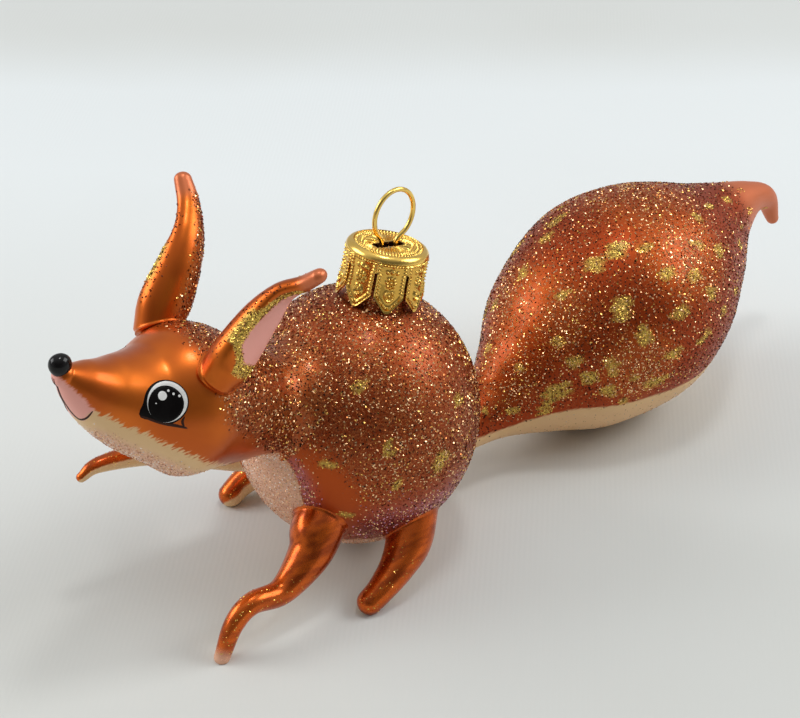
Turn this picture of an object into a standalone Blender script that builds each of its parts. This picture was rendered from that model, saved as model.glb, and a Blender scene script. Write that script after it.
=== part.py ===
"""Squirrel tree ornament: blown glass bulbs, drawn glass limbs, a stamped crown cap and a sprung wire hanger.

Metres, +Z up, the squirrel faces -Y and its left side is at +X. The figure stands on z = 0 on its two hind
feet, its left front foot and the underside of its tail, centred over the origin.
"""
import math

import bmesh
import bpy
from mathutils import Matrix, Vector

for old in list(bpy.data.objects):
    bpy.data.objects.remove(old, do_unlink=True)

# Glass
GLASS_WALL = 0.0010
SEAM_GAP = 0.0003
AIR_END_RADIUS = 0.0020

# Body bulb and its neck
BULB_RADIUS = 0.0200
BULB_HALF_HEIGHT = 0.0216
BELLY_CLEARANCE = 0.0011
NECK_LEAN = math.radians(13.5)
NECK_RADIUS = 0.0054
NECK_RISE = 0.0074
NECK_FILLET = 0.0014

# Head and nose
HEAD_RADIUS = 0.0115
HEAD_REACH = 0.0382
HEAD_RISE = math.radians(27.0)
THROAT_RADIUS = 0.0077
MUZZLE_REACH = 0.0216
MUZZLE_RISE = math.radians(32.6)
MUZZLE_TIP_RADIUS = 0.0018
MUZZLE_DISH = 0.0017
NOSE_RADIUS = 0.0017
NOSE_RISE = math.radians(72.0)
NOSE_PROUD = 0.00015

# Tail: blown a little wider than the body, and resting on the table
TAIL_SWELL = 0.0001
TAIL_REACH = 0.0589
TAIL_CLEARANCE = 0.00004

# Ears
EAR_LENGTH = 0.0225
EAR_HALF_WIDTH = 0.0050
EAR_HALF_THICKNESS = 0.0034
EAR_HOLLOW = 0.0024
EAR_TURN = math.radians(15.0)
EAR_TIP_RADIUS = 0.0012

# Legs
FRONT_LEG_RADIUS = 0.0043
FRONT_FOOT_RADIUS = 0.0010
FRONT_FOOT_SPREAD = 0.0132
FRONT_FOOT_FORWARD = 0.0377
FRONT_KNEE_HEIGHT = 0.0097
RAISED_FOOT_RADIUS = 0.0008
RAISED_FOOT_SPREAD = 0.0140
RAISED_FOOT_FORWARD = 0.0436
RAISED_FOOT_HEIGHT = 0.0223
HIND_LEG_RADIUS = 0.0040
HIND_FOOT_RADIUS = 0.0021
HIND_FOOT_SPREAD = 0.0187
HIND_FOOT_FORWARD = 0.0128
HIND_KNEE_HEIGHT = 0.0050
SOLE_FLAT = 0.0004

# Crown cap
CAP_RADIUS = 0.0070
CAP_TOP_RADIUS = 0.0066
CAP_HEIGHT = 0.0091
CAP_SHEET = 0.0004
CAP_SHOULDER = 0.0011
PETAL_COUNT = 8
PETAL_SLIT = 0.0005
PETAL_TURN = math.radians(14.5)
PETAL_LENGTH = 0.0063
PETAL_NOTCH = 0.0047
SLOT_LENGTH = 0.0057
SLOT_WIDTH = 0.0018

# Wire hanger
WIRE_RADIUS = 0.0004
LOOP_RADIUS = 0.0039
LOOP_LIFT = 0.0004
LEG_SPACING = 0.0030
LEG_LENGTH = 0.0090

# Fineness of the facets
BULB_STEPS = 38
TUBE_SIDES = 28
AIR_SIDES = 20
LIMB_SIDES = 14
WIRE_SIDES = 10


def collection(name):
    group = bpy.data.collections.new(name)
    bpy.context.scene.collection.children.link(group)
    return group


PIECES = collection("squirrel_ornament")
CUTTERS = collection("cutters")


def empty(name, location, tilt=0.0, parent=None):
    """An empty that carries pieces, leaned back about X by tilt."""
    frame = bpy.data.objects.new(name, None)
    frame.location = location
    frame.rotation_euler = (-tilt, 0.0, 0.0)
    frame.parent = parent
    PIECES.objects.link(frame)
    return frame


def add_piece(name, mesh, parent):
    piece = bpy.data.objects.new(name, mesh)
    piece.parent = parent
    PIECES.objects.link(piece)
    return piece


def add_cutter(name, mesh, parent):
    cutter = bpy.data.objects.new(name, mesh)
    cutter.parent = parent
    cutter.hide_render = True
    cutter.display_type = "WIRE"
    CUTTERS.objects.link(cutter)
    return cutter


def paint(piece, name, colour, metallic, roughness):
    """Give a piece its own Principled material."""
    material = bpy.data.materials.new(name)
    material.use_nodes = True
    surface = material.node_tree.nodes["Principled BSDF"]
    surface.inputs["Base Color"].default_value = (*colour, 1.0)
    surface.inputs["Metallic"].default_value = metallic
    surface.inputs["Roughness"].default_value = roughness
    piece.data.materials.clear()
    piece.data.materials.append(material)


def cut(piece, cutter):
    modifier = piece.modifiers.new("cut_" + cutter.name, "BOOLEAN")
    modifier.operation = "DIFFERENCE"
    modifier.solver = "EXACT"
    modifier.object = cutter


def turn(piece, steps):
    """Turn an edge profile in the XZ plane about the piece's Z axis."""
    screw = piece.modifiers.new("turn", "SCREW")
    screw.steps = steps
    screw.render_steps = steps
    screw.use_merge_vertices = True
    screw.merge_threshold = 0.00001


def profile_mesh(name, outline):
    """Edges through (radius, height) points."""
    mesh = bpy.data.meshes.new(name)
    points = [(radius, 0.0, height) for radius, height in outline]
    mesh.from_pydata(points, [(k, k + 1) for k in range(len(points) - 1)], [])
    return mesh


def smooth(stations, steps):
    """Catmull-Rom path through (point, radius) stations."""
    rows = [Vector((*point, radius)) for point, radius in stations]
    rows = [2 * rows[0] - rows[1]] + rows + [2 * rows[-1] - rows[-2]]
    path = []
    for k in range(1, len(rows) - 2):
        before, start, end, after = rows[k - 1:k + 3]
        for step in range(steps):
            t = step / steps
            row = start + 0.5 * t * ((end - before) + t * (2 * before - 5 * start + 4 * end - after
                                     + t * (3 * (start - end) + after - before)))
            path.append((row.to_3d(), row[3]))
    path.append((rows[-2].to_3d(), rows[-2][3]))
    return path


def round_end(path, steps=4):
    """A dome past the last point of a path."""
    last, radius = path[-1]
    ahead = (last - path[-2][0]).normalized()
    dome = []
    for step in range(1, steps + 1):
        angle = math.radians(86.0) * step / steps
        dome.append((last + ahead * radius * math.sin(angle), radius * math.cos(angle)))
    return path + dome


def tube_mesh(name, path, sides):
    """A curve with a bevel along (point, radius) steps, turned into a closed mesh."""
    curve = bpy.data.curves.new(name, "CURVE")
    curve.dimensions = "3D"
    curve.bevel_depth = 1.0
    curve.bevel_resolution = sides // 2 - 2
    curve.use_fill_caps = True
    spline = curve.splines.new("POLY")
    spline.points.add(len(path) - 1)
    for knot, (point, radius) in zip(spline.points, path):
        knot.co = (*point, 1.0)
        knot.radius = radius
    carrier = bpy.data.objects.new(name, curve)
    bpy.context.scene.collection.objects.link(carrier)
    graph = bpy.context.evaluated_depsgraph_get()
    mesh = bpy.data.meshes.new_from_object(carrier.evaluated_get(graph))
    bpy.data.objects.remove(carrier, do_unlink=True)
    work = bmesh.new()
    work.from_mesh(mesh)
    bmesh.ops.remove_doubles(work, verts=work.verts, dist=0.000001)
    bmesh.ops.recalc_face_normals(work, faces=work.faces)
    work.to_mesh(mesh)
    work.free()
    mesh.name = name
    return mesh


def grown(path, gap):
    return [(point, radius + gap) for point, radius in path]


def air_space(path):
    """The hollow that the glass wall leaves along a path, ended where the tube gets too thin for it."""
    hollow = []
    for point, radius in path:
        if radius - GLASS_WALL < AIR_END_RADIUS:
            break
        hollow.append((point, radius - GLASS_WALL))
    return hollow


def sphere_mesh(name, size, across, along):
    mesh = bpy.data.meshes.new(name)
    work = bmesh.new()
    bmesh.ops.create_uvsphere(work, u_segments=across, v_segments=along, radius=1.0,
                              matrix=Matrix.Diagonal((*size, 1.0)))
    work.to_mesh(mesh)
    work.free()
    return mesh


def box_mesh(name, boxes):
    """Separate boxes in one mesh, each from a placing matrix."""
    mesh = bpy.data.meshes.new(name)
    work = bmesh.new()
    for placing in boxes:
        bmesh.ops.create_cube(work, size=1.0, matrix=placing)
    work.to_mesh(mesh)
    work.free()
    return mesh


# Points that several pieces share
bulb_height = BULB_HALF_HEIGHT + BELLY_CLEARANCE
bulb_centre = Vector((0.0, 0.0, bulb_height))
tail_radius = BULB_RADIUS + TAIL_SWELL
tail_height = tail_radius + TAIL_CLEARANCE
head_way = Vector((0.0, -math.cos(HEAD_RISE), math.sin(HEAD_RISE)))
muzzle_way = Vector((0.0, -math.cos(MUZZLE_RISE), math.sin(MUZZLE_RISE)))
muzzle_up = Vector((0.0, math.sin(MUZZLE_RISE), math.cos(MUZZLE_RISE)))
head_centre = bulb_centre + HEAD_REACH * head_way
muzzle_tip = head_centre + MUZZLE_REACH * muzzle_way
nose_way = Vector((0.0, -math.cos(NOSE_RISE), math.sin(NOSE_RISE)))
nose_centre = muzzle_tip + (MUZZLE_TIP_RADIUS + NOSE_PROUD) * nose_way


def muzzle_station(share, radius):
    dish = MUZZLE_DISH * math.sin(math.pi * share)
    return head_centre + MUZZLE_REACH * share * muzzle_way - dish * muzzle_up, radius


def tail_station(reach, height, radius):
    """A point of the tail's middle line, in shares of the place and radius of its widest part."""
    return (0.0, TAIL_REACH * reach, tail_height * height), tail_radius * radius


head_path = smooth([
    (bulb_centre + HEAD_REACH * 0.22 * head_way, THROAT_RADIUS),
    (bulb_centre + HEAD_REACH * 0.52 * head_way, THROAT_RADIUS),
    (bulb_centre + HEAD_REACH * 0.78 * head_way, 0.45 * THROAT_RADIUS + 0.55 * HEAD_RADIUS),
    (head_centre, HEAD_RADIUS),
    muzzle_station(0.34, 0.720 * HEAD_RADIUS),
    muzzle_station(0.64, 0.496 * HEAD_RADIUS),
    muzzle_station(0.86, 0.310 * HEAD_RADIUS),
    muzzle_station(1.00, MUZZLE_TIP_RADIUS),
], 4)
tail_path = smooth([
    tail_station(0.14, 0.54, 0.22),
    tail_station(0.36, 0.49, 0.22),
    tail_station(0.50, 0.53, 0.29),
    tail_station(0.62, 0.62, 0.50),
    tail_station(0.77, 0.77, 0.81),
    tail_station(1.00, 1.00, 1.00),
    tail_station(1.19, 1.17, 0.89),
    tail_station(1.35, 1.31, 0.62),
    tail_station(1.48, 1.43, 0.34),
    tail_station(1.60, 1.48, 0.17),
    tail_station(1.69, 1.40, 0.11),
    tail_station(1.74, 1.14, 0.06),
], 3)

# The figure is centred over the origin, halfway between the nose and the back of the tail's hook
nose_front = nose_centre.y - NOSE_RADIUS
tail_back = max(point.y + radius for point, radius in tail_path)
figure = empty("figure", (0.0, -(nose_front + tail_back) / 2, 0.0))
neck_axis = empty("neck_axis", bulb_centre, NECK_LEAN, figure)

# Shapes that trim what meets them, each grown by the gap at a fused seam
room_size = (BULB_RADIUS + SEAM_GAP, BULB_RADIUS + SEAM_GAP, BULB_HALF_HEIGHT + SEAM_GAP)
room_mesh = sphere_mesh("bulb_room", room_size, BULB_STEPS, BULB_STEPS // 2)
bulb_room = add_cutter("bulb_room", room_mesh, neck_axis)
head_grown = round_end(grown(head_path, SEAM_GAP))
head_room = add_cutter("head_room", tube_mesh("head_room", head_grown, TUBE_SIDES), figure)
head_hollow = round_end(air_space(head_path))
head_air = add_cutter("head_air", tube_mesh("head_air", head_hollow, AIR_SIDES), figure)
tail_hollow = round_end(air_space(tail_path))
tail_air = add_cutter("tail_air", tube_mesh("tail_air", tail_hollow, AIR_SIDES), figure)
table_depth = 2 * BULB_RADIUS
table_place = Matrix.Translation((0.0, 0.0, -table_depth / 2))
table_size = Matrix.Diagonal((4 * BULB_RADIUS, 8 * BULB_RADIUS, table_depth, 1.0))
table_slab = add_cutter("table_slab", box_mesh("table_slab", [table_place @ table_size]), figure)

# Body bulb: ball and neck turned in one profile, with a mouth at the top and ways into the head and tail
neck_top = BULB_HALF_HEIGHT + NECK_RISE
neck_meets = math.acos((NECK_RADIUS + NECK_FILLET) / BULB_RADIUS)
bulb_outer = []
bulb_inner = []
for step in range(15):
    angle = neck_meets - (neck_meets + math.pi / 2) * step / 14
    bulb_outer.append((BULB_RADIUS * math.cos(angle), BULB_HALF_HEIGHT * math.sin(angle)))
    inner_radius = BULB_RADIUS - GLASS_WALL
    bulb_inner.append((inner_radius * math.cos(angle), (BULB_HALF_HEIGHT - GLASS_WALL) * math.sin(angle)))
bulb_outer[-1] = (0.0, -BULB_HALF_HEIGHT)
bulb_inner[-1] = (0.0, -BULB_HALF_HEIGHT + GLASS_WALL)
fillet_foot = bulb_outer[0][1]
neck_bore = NECK_RADIUS - GLASS_WALL
lip = 0.3 * GLASS_WALL
neck_outline = [
    (neck_bore, fillet_foot + NECK_FILLET),
    (neck_bore, neck_top - lip),
    (neck_bore + lip, neck_top),
    (NECK_RADIUS - lip, neck_top),
    (NECK_RADIUS, neck_top - lip),
    (NECK_RADIUS, fillet_foot + NECK_FILLET),
    (NECK_RADIUS + 0.3 * NECK_FILLET, fillet_foot + 0.3 * NECK_FILLET),
]
bulb_outline = bulb_inner[::-1] + neck_outline + bulb_outer
body_bulb = add_piece("body_bulb", profile_mesh("body_bulb", bulb_outline), neck_axis)
turn(body_bulb, BULB_STEPS)
cut(body_bulb, head_air)
cut(body_bulb, tail_air)
paint(body_bulb, "body_glass", (0.62, 0.22, 0.07), 0.6, 0.35)

# Head and tail: hollow tubes trimmed to the bulb
head_bulb = add_piece("head_bulb", tube_mesh("head_bulb", round_end(head_path), TUBE_SIDES), figure)
cut(head_bulb, head_air)
cut(head_bulb, bulb_room)
paint(head_bulb, "head_glass", (0.66, 0.26, 0.09), 0.6, 0.35)
tail_bulb = add_piece("tail_bulb", tube_mesh("tail_bulb", round_end(tail_path), TUBE_SIDES), figure)
cut(tail_bulb, tail_air)
cut(tail_bulb, bulb_room)
paint(tail_bulb, "tail_glass", (0.58, 0.20, 0.07), 0.6, 0.35)

# Nose bead, dabbed on the end of the muzzle
nose_bead = add_piece("nose_bead", sphere_mesh("nose_bead", (NOSE_RADIUS,) * 3, 20, 12), figure)
nose_bead.location = nose_centre
cut(nose_bead, head_room)
paint(nose_bead, "nose_glass", (0.01, 0.01, 0.01), 0.0, 0.08)


# Ears: flat drawn horns with a pressed hollow on the outer side, round at the tip
def ear_mesh(name, side):
    """Rings of a flattened horn joined one to the next; side is 1 for the left ear and -1 for the right."""
    base = head_centre + HEAD_RADIUS * Vector((0.726, 0.088, 0.484))
    knees = [(-0.012, 0.025, 0.045), (0.036, 0.166, 0.204), (0.091, 0.346, 0.428), (0.150, 0.471, 0.590),
             (0.275, 0.571, 0.714), (0.403, 0.622, 0.840)]
    width_shares = [0.60, 1.00, 0.72, 0.52, 0.37, 0.28]
    depth_shares = [0.85, 1.00, 0.86, 0.54, 0.38, 0.32]
    line = [base + EAR_LENGTH * Vector(knee) for knee in knees]
    path = smooth(list(zip(line, width_shares)), 3)
    depths = smooth(list(zip(line, depth_shares)), 3)
    outward = Vector((math.cos(EAR_TURN), math.sin(EAR_TURN), 0.0))
    rings = []
    for k, (point, share) in enumerate(path):
        along = (path[min(k + 1, len(path) - 1)][0] - path[max(k - 1, 0)][0]).normalized()
        wide = along.cross(outward).normalized()
        thick = wide.cross(along)
        run = k / (len(path) - 1)
        depth = depths[k][1]
        half_width = max(EAR_HALF_WIDTH * share, EAR_TIP_RADIUS)
        half_thick = max(EAR_HALF_THICKNESS * depth, EAR_TIP_RADIUS * 0.9)
        dent = EAR_HOLLOW * math.sin(math.pi * min(max((run - 0.12) / 0.70, 0.0), 1.0)) ** 0.7
        ring = []
        for step in range(16):
            angle = math.tau * step / 16
            lift = half_thick * math.sin(angle) - dent * depth * max(math.sin(angle), 0.0) ** 2
            ring.append(point + wide * half_width * math.cos(angle) + thick * lift)
        rings.append(ring)
    tip = path[-1][0]
    ahead = (tip - path[-2][0]).normalized()
    for fall in (0.75, 0.35):
        reach = ahead * EAR_TIP_RADIUS * math.sqrt(1 - fall * fall)
        rings.append([tip + reach + (corner - tip) * fall for corner in rings[len(path) - 1]])
    mesh = bpy.data.meshes.new(name)
    work = bmesh.new()
    loops = []
    for ring in rings:
        corners = [work.verts.new((side * corner.x, corner.y, corner.z)) for corner in ring]
        loops.append([work.edges.new((corners[k - 1], corners[k])) for k in range(16)])
    for lower, upper in zip(loops, loops[1:]):
        bmesh.ops.bridge_loops(work, edges=lower + upper)
    bmesh.ops.edgeloop_fill(work, edges=loops[0])
    bmesh.ops.edgeloop_fill(work, edges=loops[-1])
    bmesh.ops.recalc_face_normals(work, faces=work.faces)
    work.to_mesh(mesh)
    work.free()
    return mesh


for name, side in (("ear_left", 1), ("ear_right", -1)):
    ear = add_piece(name, ear_mesh(name, side), figure)
    cut(ear, head_room)
    paint(ear, name + "_glass", (0.64, 0.27, 0.12), 0.5, 0.35)


# Legs: drawn glass rods, thick at the body and fine at the foot
def leg(name, side, knees, shares, root_radius, foot_radius, stands):
    stations = []
    for (spread, forward, height), share in zip(knees, shares):
        radius = foot_radius + (root_radius - foot_radius) * share
        stations.append(((side * spread, -forward, height), radius))
    piece = add_piece(name, tube_mesh(name, round_end(smooth(stations, 3)), LIMB_SIDES), figure)
    cut(piece, bulb_room)
    if stands:
        cut(piece, table_slab)
    paint(piece, name + "_glass", (0.60, 0.26, 0.06), 0.1, 0.12)


front_root = (0.36 * BULB_RADIUS, 0.55 * BULB_RADIUS, 0.70 * bulb_height)
front_seam = (0.49 * BULB_RADIUS, 0.80 * BULB_RADIUS, 0.56 * bulb_height)
hind_root = (0.66 * BULB_RADIUS, -0.06 * BULB_RADIUS, 0.52 * bulb_height)
hind_seam = (0.81 * BULB_RADIUS, 0.13 * BULB_RADIUS, 0.33 * bulb_height)
foot_centre = FRONT_FOOT_RADIUS - SOLE_FLAT
leg("front_leg_left", 1, [
    front_root,
    front_seam,
    (0.86 * FRONT_FOOT_SPREAD, 0.51 * FRONT_FOOT_FORWARD, FRONT_KNEE_HEIGHT),
    (0.95 * FRONT_FOOT_SPREAD, 0.675 * FRONT_FOOT_FORWARD, 0.69 * FRONT_KNEE_HEIGHT),
    (0.97 * FRONT_FOOT_SPREAD, 0.833 * FRONT_FOOT_FORWARD, 0.777 * FRONT_KNEE_HEIGHT),
    (0.98 * FRONT_FOOT_SPREAD, 0.928 * FRONT_FOOT_FORWARD, 0.562 * FRONT_KNEE_HEIGHT),
    (FRONT_FOOT_SPREAD, FRONT_FOOT_FORWARD, foot_centre),
], (0.80, 1.0, 0.54, 0.27, 0.17, 0.11, 0.0), FRONT_LEG_RADIUS, FRONT_FOOT_RADIUS, True)
leg("front_leg_right", -1, [
    front_root,
    (front_seam[0], front_seam[1], 0.643 * RAISED_FOOT_HEIGHT),
    (0.80 * RAISED_FOOT_SPREAD, 0.547 * RAISED_FOOT_FORWARD, 0.80 * RAISED_FOOT_HEIGHT),
    (0.92 * RAISED_FOOT_SPREAD, 0.719 * RAISED_FOOT_FORWARD, 0.974 * RAISED_FOOT_HEIGHT),
    (0.98 * RAISED_FOOT_SPREAD, 0.926 * RAISED_FOOT_FORWARD, 1.049 * RAISED_FOOT_HEIGHT),
    (RAISED_FOOT_SPREAD, RAISED_FOOT_FORWARD, RAISED_FOOT_HEIGHT),
], (0.80, 0.78, 0.51, 0.36, 0.14, 0.0), FRONT_LEG_RADIUS, RAISED_FOOT_RADIUS, False)
for name, side in (("hind_leg_left", 1), ("hind_leg_right", -1)):
    leg(name, side, [
        hind_root,
        hind_seam,
        (0.957 * HIND_FOOT_SPREAD, 0.51 * HIND_FOOT_FORWARD, HIND_KNEE_HEIGHT),
        (HIND_FOOT_SPREAD, 0.82 * HIND_FOOT_FORWARD, 0.60 * HIND_KNEE_HEIGHT),
        (HIND_FOOT_SPREAD, HIND_FOOT_FORWARD, HIND_FOOT_RADIUS - SOLE_FLAT),
    ], (1.0, 0.88, 0.42, 0.10, 0.0), HIND_LEG_RADIUS, HIND_FOOT_RADIUS, True)

# Crown cap: a stamped cup over the neck, its skirt slit into petals and its top slotted for the wire
cap_inner_top = neck_top + SEAM_GAP
cap_top = cap_inner_top + CAP_SHEET
cap_foot = cap_top - CAP_HEIGHT
bend = [(math.sin(math.radians(a)), math.cos(math.radians(a))) for a in (0, 30, 60, 90)]
cap_outline = [(0.0, CAP_HEIGHT)]
for across, up in bend:
    cap_outline.append((CAP_TOP_RADIUS - CAP_SHOULDER * (1 - across), CAP_HEIGHT - CAP_SHOULDER * (1 - up)))
cap_outline += [(CAP_TOP_RADIUS, 0.50 * CAP_HEIGHT), (CAP_RADIUS, 0.0), (CAP_RADIUS - CAP_SHEET, 0.0),
                (CAP_TOP_RADIUS - CAP_SHEET, 0.50 * CAP_HEIGHT)]
inner_bend = CAP_SHOULDER - CAP_SHEET
for across, up in bend[::-1]:
    cap_outline.append((CAP_TOP_RADIUS - CAP_SHOULDER + inner_bend * across,
                        CAP_HEIGHT - CAP_SHOULDER + inner_bend * up))
cap_outline.append((0.0, CAP_HEIGHT - CAP_SHEET))
cap_crown = add_piece("cap_crown", profile_mesh("cap_crown", cap_outline), neck_axis)
cap_crown.location = (0.0, 0.0, cap_foot)
turn(cap_crown, 6 * PETAL_COUNT)
slits = []
notches = []
for k in range(PETAL_COUNT):
    around = Matrix.Rotation(math.tau * (k + 0.5) / PETAL_COUNT + PETAL_TURN, 4, "Z")
    rim = around @ Matrix.Translation((CAP_RADIUS, 0.0, 0.0))
    slits.append(rim @ Matrix.Diagonal((CAP_RADIUS, PETAL_SLIT, 2 * PETAL_LENGTH, 1.0)))
    side = PETAL_NOTCH / math.sqrt(2)
    corner_down = Matrix.Rotation(math.pi / 4, 4, "X")
    notches.append(rim @ corner_down @ Matrix.Diagonal((CAP_RADIUS, side, side, 1.0)))
petal_slits = add_cutter("petal_slits", box_mesh("petal_slits", slits), neck_axis)
petal_notches = add_cutter("petal_notches", box_mesh("petal_notches", notches), neck_axis)
slot_place = Matrix.Translation((0.0, 0.0, CAP_HEIGHT))
slot_size = Matrix.Diagonal((SLOT_WIDTH, SLOT_LENGTH, 6 * CAP_SHEET, 1.0))
wire_slot = add_cutter("wire_slot", box_mesh("wire_slot", [slot_place @ slot_size]), neck_axis)
for cutter in (petal_slits, petal_notches, wire_slot):
    cutter.location = cap_crown.location
    cut(cap_crown, cutter)
paint(cap_crown, "cap_metal", (0.80, 0.60, 0.22), 1.0, 0.22)

# Wire hanger: a round loop whose two legs pass the slot and splay to the neck's bore
loop_centre = cap_top + LOOP_LIFT + WIRE_RADIUS + LOOP_RADIUS
leg_foot = neck_bore - SEAM_GAP - WIRE_RADIUS
half_gap = math.asin(LEG_SPACING / 2 / LOOP_RADIUS)
arc = []
for step in range(33):
    angle = half_gap + (math.tau - 2 * half_gap) * step / 32
    point = Vector((0.0, LOOP_RADIUS * math.sin(angle), loop_centre - LOOP_RADIUS * math.cos(angle)))
    arc.append((point, WIRE_RADIUS))
legs = [(Vector((0.0, leg_foot, cap_top - LEG_LENGTH)), WIRE_RADIUS),
        (Vector((0.0, LEG_SPACING / 2, cap_top)), WIRE_RADIUS)]
other_legs = [(Vector((0.0, -point.y, point.z)), radius) for point, radius in legs[::-1]]
wire_mesh = tube_mesh("hanger_wire", legs + arc + other_legs, WIRE_SIDES)
hanger_wire = add_piece("hanger_wire", wire_mesh, neck_axis)
paint(hanger_wire, "hanger_metal", (0.78, 0.58, 0.22), 1.0, 0.2)
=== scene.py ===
"""Looks of the squirrel tree ornament: lacquered glass, glitter, a painted face, a gilt cap and its wire.

Metres, +Z up. The squirrel faces -Y and its left side is at +X, as in the frame.
Painted masks are worked out in millimetres, from places given across, back and up.
"""

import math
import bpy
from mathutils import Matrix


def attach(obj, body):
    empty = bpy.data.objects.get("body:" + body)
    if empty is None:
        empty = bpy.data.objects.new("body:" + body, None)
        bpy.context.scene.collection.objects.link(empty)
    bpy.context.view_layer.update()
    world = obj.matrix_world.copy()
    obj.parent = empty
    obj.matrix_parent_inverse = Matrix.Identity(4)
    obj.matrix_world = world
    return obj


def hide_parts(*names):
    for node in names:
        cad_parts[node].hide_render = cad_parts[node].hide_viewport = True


bl_info = {
    "name": "Squirrel Tree Ornament",
    "version": (1, 0, 0),
    "blender": (4, 5, 0),
    "location": "View3D > Sidebar > Ornament",
    "description": "Dresses the ornament's frame in lacquer, glitter, paint and gilt metal",
    "category": "Object",
}

import bmesh
import bpy
import numpy as np
from bpy.props import FloatProperty, FloatVectorProperty, IntProperty, PointerProperty
from mathutils import Matrix, Vector
from mathutils.bvhtree import BVHTree

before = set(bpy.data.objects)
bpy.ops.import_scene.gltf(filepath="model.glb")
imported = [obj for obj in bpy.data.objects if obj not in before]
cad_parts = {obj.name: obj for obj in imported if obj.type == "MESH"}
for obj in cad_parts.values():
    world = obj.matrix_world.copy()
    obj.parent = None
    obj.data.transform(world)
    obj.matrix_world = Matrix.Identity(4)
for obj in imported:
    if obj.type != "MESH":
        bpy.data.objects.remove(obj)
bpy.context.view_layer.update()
MM = 0.001


def length(name, text, value):
    return FloatProperty(name=name, description=text, default=value, min=0.0, precision=5, unit="LENGTH")


def turn_of(name, text, degrees):
    return FloatProperty(name=name, description=text, default=math.radians(degrees), subtype="ANGLE")


def tint(name, text, value):
    return FloatVectorProperty(name=name, description=text, default=value, size=3, min=0.0, max=1.0,
                               subtype="COLOR")


def amount(name, text, value):
    return FloatProperty(name=name, description=text, default=value, min=0.0)


class GlassSizes(bpy.types.PropertyGroup):
    """Sizes of the blown and drawn glass, in the frame's own coordinates."""

    bulb_radius: length("Bulb radius", "Half the width of the body bulb", 0.0200)
    bulb_half_height: length("Bulb half height", "Half the bulb's height along its neck", 0.0216)
    bulb_forward: length("Bulb forward", "How far the bulb's centre lies ahead of the origin", 0.02458)
    bulb_height: length("Bulb height", "Height of the bulb's centre above the table", 0.0227)
    glass_wall: length("Glass wall", "Thickness of the blown wall", 0.0010)
    neck_lean: turn_of("Neck lean", "How far the neck leans back", 13.5)
    neck_radius: length("Neck radius", "Radius of the neck under the cap", 0.0054)
    neck_rise: length("Neck rise", "How far the neck stands above the bulb", 0.0074)
    neck_fillet: length("Neck fillet", "Rounding where neck and bulb meet", 0.0014)
    head_radius: length("Head radius", "Radius of the head at its widest", 0.0115)
    head_reach: length("Head reach", "From the bulb's centre to the head's", 0.0382)
    head_rise: turn_of("Head rise", "Slope of the throat", 27.0)
    throat_radius: length("Throat radius", "Radius of the throat", 0.0077)
    muzzle_reach: length("Muzzle reach", "From the head's centre to the muzzle's end", 0.0216)
    muzzle_rise: turn_of("Muzzle rise", "Slope of the muzzle", 32.6)
    muzzle_tip: length("Muzzle tip", "Radius of the muzzle's end", 0.0018)
    muzzle_dish: length("Muzzle dish", "Sag of the muzzle's middle line", 0.0017)
    nose_radius: length("Nose radius", "Radius of the nose bead", 0.0017)
    nose_rise: turn_of("Nose rise", "Direction of the nose bead from the muzzle's end", 72.0)
    nose_proud: length("Nose proud", "How far the nose bead stands out of the muzzle", 0.00015)
    tail_radius: length("Tail radius", "Radius of the tail at its fattest", 0.0201)
    tail_reach: length("Tail reach", "From the bulb's centre to the tail's fattest place", 0.0589)
    tail_height: length("Tail height", "Height of the tail's middle line there", 0.02014)
    ear_length: length("Ear length", "Length of an ear", 0.0225)
    ear_half_width: length("Ear half width", "Half an ear's width at its widest", 0.0050)
    ear_half_thick: length("Ear half thickness", "Half an ear's thickness at its thickest", 0.0034)
    ear_hollow: length("Ear hollow", "Depth of the hollow pressed in an ear", 0.0024)
    ear_tip: length("Ear tip", "Radius of an ear's tip", 0.0012)
    ear_turn: turn_of("Ear turn", "How far the hollow turns back", 15.0)
    front_leg: length("Front leg", "Radius of a front leg at the body", 0.0043)
    front_foot: length("Front foot", "Radius of the standing front foot", 0.0010)
    front_spread: length("Front spread", "From the middle to the standing front foot", 0.0132)
    front_forward: length("Front forward", "From the bulb's centre to the standing front foot", 0.0377)
    front_knee: length("Front knee", "Height of the standing front leg's knee", 0.0097)
    raised_foot: length("Raised foot", "Radius of the raised front foot", 0.0008)
    raised_spread: length("Raised spread", "From the middle to the raised front foot", 0.0140)
    raised_forward: length("Raised forward", "From the bulb's centre to the raised front foot", 0.0436)
    raised_height: length("Raised height", "Height of the raised front foot", 0.0223)
    hind_leg: length("Hind leg", "Radius of a hind leg at the body", 0.0040)
    hind_foot: length("Hind foot", "Radius of a hind foot", 0.0021)
    hind_spread: length("Hind spread", "From the middle to a hind foot", 0.0187)
    hind_forward: length("Hind forward", "From the bulb's centre to a hind foot", 0.0128)
    hind_knee: length("Hind knee", "Height of a hind leg's knee", 0.0050)
    sole_flat: length("Sole flat", "Depth to which a sole is flat", 0.0004)
    weld: length("Weld", "Rounding where a leg or an ear was fused on", 0.0005)
    collar: length("Collar", "Rounding where the throat runs out of the bulb", 0.0030)


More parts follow.
